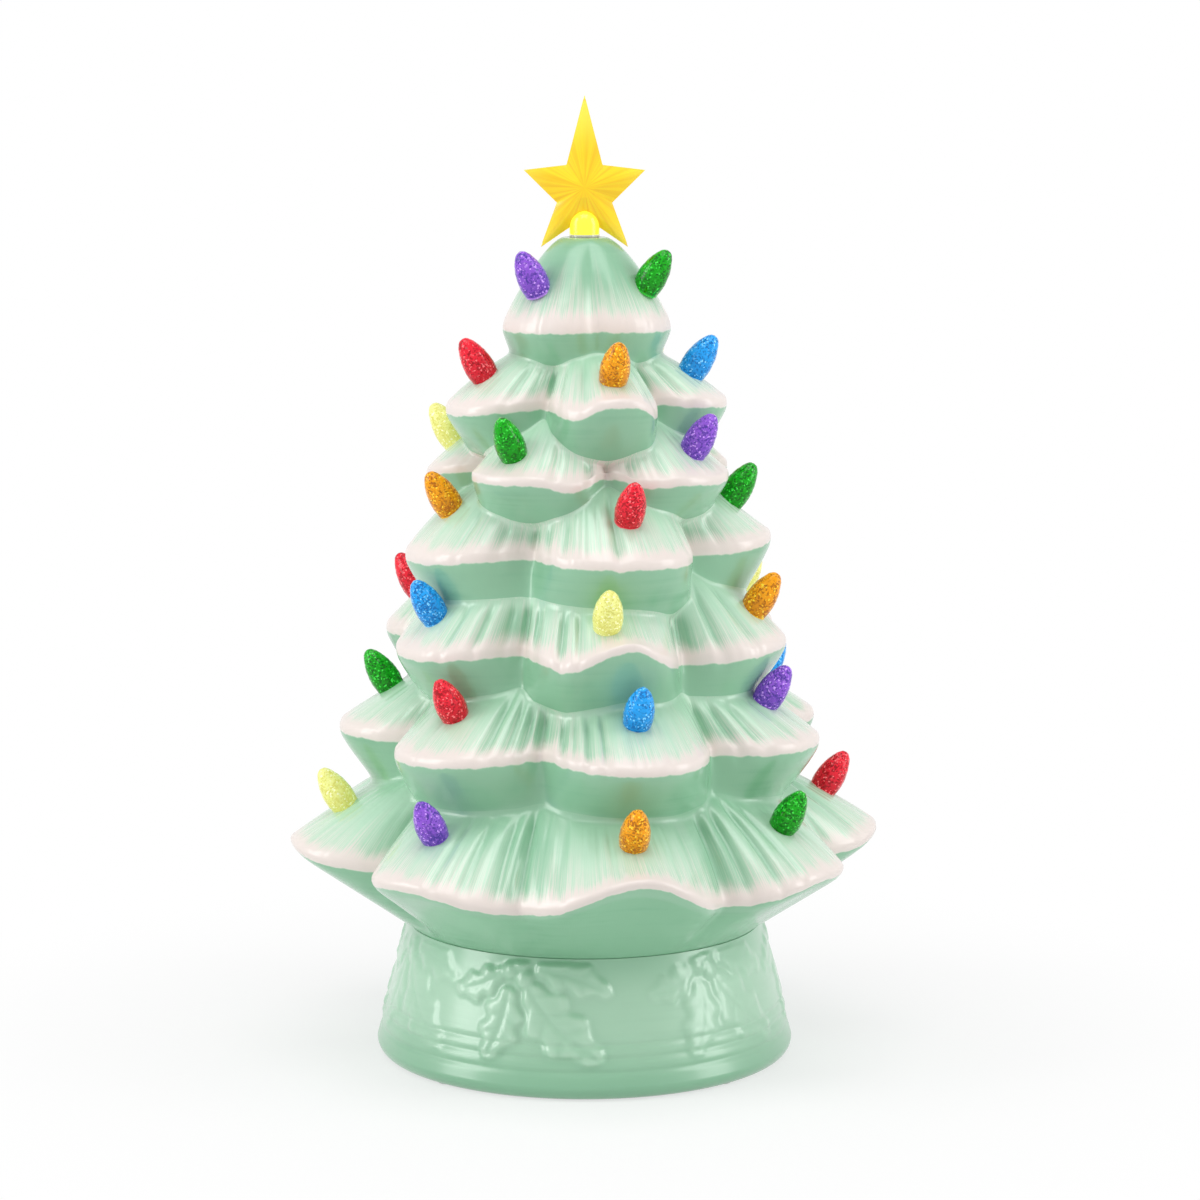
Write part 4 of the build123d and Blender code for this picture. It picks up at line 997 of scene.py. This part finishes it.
def star_piece(name):
    """Five-pointed star with narrow flats along its ridges, soft edges and a notch over the peg."""
    shares = STAR_HALF_SHARES + tuple((360 - a, s) for a, s in reversed(STAR_HALF_SHARES[1:-1]))
    rays = [Vector((math.sin(math.radians(a)), 0, math.cos(math.radians(a)))) * s * STAR_REACH
            for a, s in shares]
    build = bmesh.new()
    rims = []
    for side in (-1, 1):
        rim = [build.verts.new(ray + Vector((0, side * STAR_RIM / 2, STAR_CENTRE))) for ray in rays]
        rims.append(rim)
        middle, ends = [], []
        for ray in rays[::2]:
            across = Vector((ray.z, 0, -ray.x)).normalized()
            for (share, half), group in zip(STAR_FLATS, (middle, ends)):
                depth = STAR_MIDDLE / 2 + (STAR_RIM - STAR_MIDDLE) / 2 * share - STAR_FLAT_SINK
                point = ray * share + Vector((0, side * depth, STAR_CENTRE))
                group.append([build.verts.new(point + across * half * sign) for sign in (-1, 1)])
        build.faces.new([v for pair in middle for v in pair])
        for i, (pair, end) in enumerate(zip(middle, ends)):
            tip, right, left = rim[2 * i], rim[2 * i + 1], rim[2 * i - 1]
            following = middle[(i + 1) % len(middle)]
            for face in ((pair[0], pair[1], end[1], end[0]), (end[0], end[1], tip),
                         (pair[1], right, tip, end[1]), (pair[0], end[0], tip, left),
                         (pair[1], following[0], right)):
                build.faces.new(face)
    front, back = rims
    for i in range(len(front)):
        j = (i + 1) % len(front)
        build.faces.new((front[i], front[j], back[j], back[i]))
    bmesh.ops.recalc_face_normals(build, faces=build.faces)
    bmesh.ops.triangulate(build, faces=[f for f in build.faces if len(f.verts) == 4])
    bmesh.ops.dissolve_limit(build, angle_limit=math.radians(1), verts=build.verts, edges=build.edges)
    bmesh.ops.bevel(build, geom=build.edges, offset=STAR_BEVEL, segments=2, affect="EDGES", profile=0.5)
    piece = link(name, mesh_from(build, name))
    low = STAR_CENTRE - STAR_REACH
    notch = bmesh.new()
    bmesh.ops.create_cone(notch, cap_ends=True, segments=STAR_NOTCH_SEGMENTS, radius1=PEG_HOLE_RADIUS,
                          radius2=PEG_HOLE_RADIUS, depth=STAR_NOTCH_TOP - low,
                          matrix=Matrix.Translation((0, 0, (STAR_NOTCH_TOP + low) / 2)))
    cutter = link("peg_notch", mesh_from(notch, "peg_notch"))
    modifier = piece.modifiers.new("notch", "BOOLEAN")
    modifier.object = cutter
    modifier.operation = "DIFFERENCE"
    modifier.solver = "EXACT"
    settle(piece)
    bpy.data.objects.remove(cutter)
    piece.data.polygons.foreach_set("use_smooth", [True] * len(piece.data.polygons))
    piece.data.set_sharp_from_angle(angle=math.radians(STAR_SHARP_ANGLE))
    return piece


glaze_snowy = glaze_material("mint_glaze_snowy", snowy_tree)
for band, first_tier, end_tier, column_count in SKIN_BANDS:
    casting = tree_band(band, first_tier, end_tier, column_count)
    casting.data.materials.append(glaze_snowy)
    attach(casting, "tree")
    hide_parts("tree_shell")

base = base_casting("holly_base")
base.data.materials.append(glaze_material("mint_glaze", bare_base))
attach(base, "base")
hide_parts("base_shell")

bulb_tree = bulb_rows()
for bulb_colour in BULB_COLOURS:
    bulbs_of(bulb_colour, bulb_tree)

star = star_piece("star_topper")
star.data.materials.append(star_material())
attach(star, "star")
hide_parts("star")

# Finishes of the CAD nodes that keep their own shape: name, dark and light, roughness, other values
FINISHES = {
    # The hub's emission is a painted glow
    "star_hub": ("hub_yellow", (0.96, 0.85, 0.03), (0.99, 0.92, 0.06), 0.14,
                 {"Emission_Color": (1.0, 0.92, 0.06, 1), "Emission_Strength": 0.36}),
    "star_peg": ("peg_clear", (0.80, 0.78, 0.70), (0.90, 0.88, 0.80), 0.12, {"Transmission_Weight": 0.6}),
    "foot_pads": ("pad_rubber", (0.62, 0.66, 0.63), (0.72, 0.75, 0.72), 0.5),
    "bottom_plate": ("plate_plastic", (0.74, 0.75, 0.73), (0.82, 0.83, 0.80), 0.42),
    "battery_cells": ("cell_jacket", (0.02, 0.02, 0.025), (0.05, 0.05, 0.055), 0.3),
    "battery_contacts": ("contact_metal", (0.55, 0.54, 0.50), (0.68, 0.67, 0.63), 0.25, {"Metallic": 1.0}),
    "circuit_board": ("board_green", (0.01, 0.13, 0.05), (0.02, 0.20, 0.08), 0.35),
    "switch_slider": ("switch_plastic", (0.02, 0.02, 0.02), (0.04, 0.04, 0.04), 0.4),
    "lamp_post": ("post_metal", (0.60, 0.57, 0.48), (0.72, 0.69, 0.60), 0.22, {"Metallic": 1.0}),
    "lamp_socket": ("socket_plastic", (0.70, 0.70, 0.68), (0.78, 0.78, 0.76), 0.45),
    "led_board": ("led_white", (0.85, 0.85, 0.82), (0.92, 0.92, 0.88), 0.3),
    "lamp_cover": ("lamp_frost", (0.86, 0.87, 0.86), (0.94, 0.95, 0.94), 0.45, {"Transmission_Weight": 0.35}),
    "lamp_leads": ("lead_sleeve", (0.55, 0.03, 0.02), (0.65, 0.05, 0.03), 0.4),
}
SAME_FINISH = {"battery_door": "bottom_plate", "board_screws": "battery_contacts", "deck_nut": "lamp_post",
               "deck_washer": "foot_pads"}
finishes = {node_name: plain_material(*row) for node_name, row in FINISHES.items()}
for node_name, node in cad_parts.items():
    finish = finishes.get(SAME_FINISH.get(node_name, node_name))
    if finish is None:
        continue
    if not node.material_slots:
        node.data.materials.append(finish)
    for holder in node.material_slots:
        holder.material = finish


def background_rays(graph):
    """One for rays that show the background: from the camera, a reflection or through clear stock."""
    path = graph.add("ShaderNodeLightPath").outputs
    direct = graph.math("MAXIMUM", path["Is Camera Ray"], path["Is Transmission Ray"])
    return graph.math("MAXIMUM", direct, path["Is Glossy Ray"])


# Floor: distances from the axis and share of white there, which leaves the shadow near the tree
FLOOR_REACH = 6.0
FLOOR_GREYS = ((0.90, 0.90, 0.90, 1), (0.92, 0.92, 0.92, 1))
FLOOR_MOTTLE_SCALE = 3.0
FLOOR_WHITE = (0.10, 0.34, 0.66, 1.0)
WHITE = (1, 1, 1, 1)
corners = [(x * FLOOR_REACH, y * FLOOR_REACH, 0) for x, y in ((-1, -1), (1, -1), (1, 1), (-1, 1))]
floor_mesh = bpy.data.meshes.new("floor")
floor_mesh.from_pydata(corners, [], [(0, 1, 2, 3)])
floor = link("floor", floor_mesh)
floor_material, floor_graph, floor_shader, floor_place = new_material("white_floor")
grey = floor_graph.mix(floor_graph.noise(floor_place, FLOOR_MOTTLE_SCALE, 1), *FLOOR_GREYS)
floor_graph.fill(floor_shader, Base_Color=grey, Roughness=0.9, Specular_IOR_Level=0.0)
white = floor_graph.out("ShaderNodeEmission", {"Color": WHITE, "Strength": 1.0})
whiten = floor_graph.spread(floor_graph.vector("LENGTH", floor_place), *FLOOR_WHITE)
seen = floor_graph.times(background_rays(floor_graph), whiten)
blend = floor_graph.out("ShaderNodeMixShader", {0: seen, 1: floor_shader.outputs[0], 2: white})
floor_graph.put(floor_graph.tree.nodes["Material Output"].inputs["Surface"], blend)
floor_mesh.materials.append(floor_material)

# World: soft fill for the object, white where it is seen
WORLD_FILL = 0.48
world = bpy.data.worlds.new("white_room")
bpy.context.scene.world = world
world.use_nodes = True
world.node_tree.nodes.clear()
room = Graph(world.node_tree)
fill = room.out("ShaderNodeBackground", {"Color": WHITE, "Strength": WORLD_FILL})
backdrop = room.out("ShaderNodeBackground", {"Color": WHITE, "Strength": 1.0})
both = room.out("ShaderNodeMixShader", {0: background_rays(room), 1: fill, 2: backdrop})
room.add("ShaderNodeOutputWorld", {"Surface": both})

# Soft lamps aimed at the middle of the tree: name, place, width and height, power
LAMPS = (
    ("lamp_left", (-1.6, -0.55, 0.85), (0.7, 1.4), 13.4),
    ("lamp_right", (1.6, -0.45, 0.75), (0.7, 1.4), 11.0),
    ("lamp_above", (0, -0.5, 1.9), (1.2, 1.2), 12),
)
LAMP_AIM = Vector((0, 0, 0.2))
for lamp_name, lamp_place, lamp_size, power in LAMPS:
    lamp_data = bpy.data.lights.new(lamp_name, "AREA")
    lamp_data.shape = "RECTANGLE"
    lamp_data.size, lamp_data.size_y = lamp_size
    lamp_data.energy = power
    lamp = link(lamp_name, lamp_data)
    lamp.location = lamp_place
    lamp.rotation_euler = (LAMP_AIM - Vector(lamp_place)).to_track_quat("-Z", "Y").to_euler()

camera_data = bpy.data.cameras.new("photo_camera")
camera_data.sensor_width = SENSOR_MM
camera_data.lens = FOCAL_PIXELS / PHOTO_PIXELS * SENSOR_MM
camera_data.shift_x = (PHOTO_PIXELS / 2 - AXIS_PIXEL_X) / PHOTO_PIXELS
camera = link("photo_camera", camera_data)
camera.location = (0, -CAMERA_DISTANCE, CAMERA_HEIGHT)
camera.rotation_euler = (math.radians(90 - CAMERA_PITCH), 0, 0)
bpy.context.scene.camera = camera
bpy.context.scene.view_settings.view_transform = "Standard"
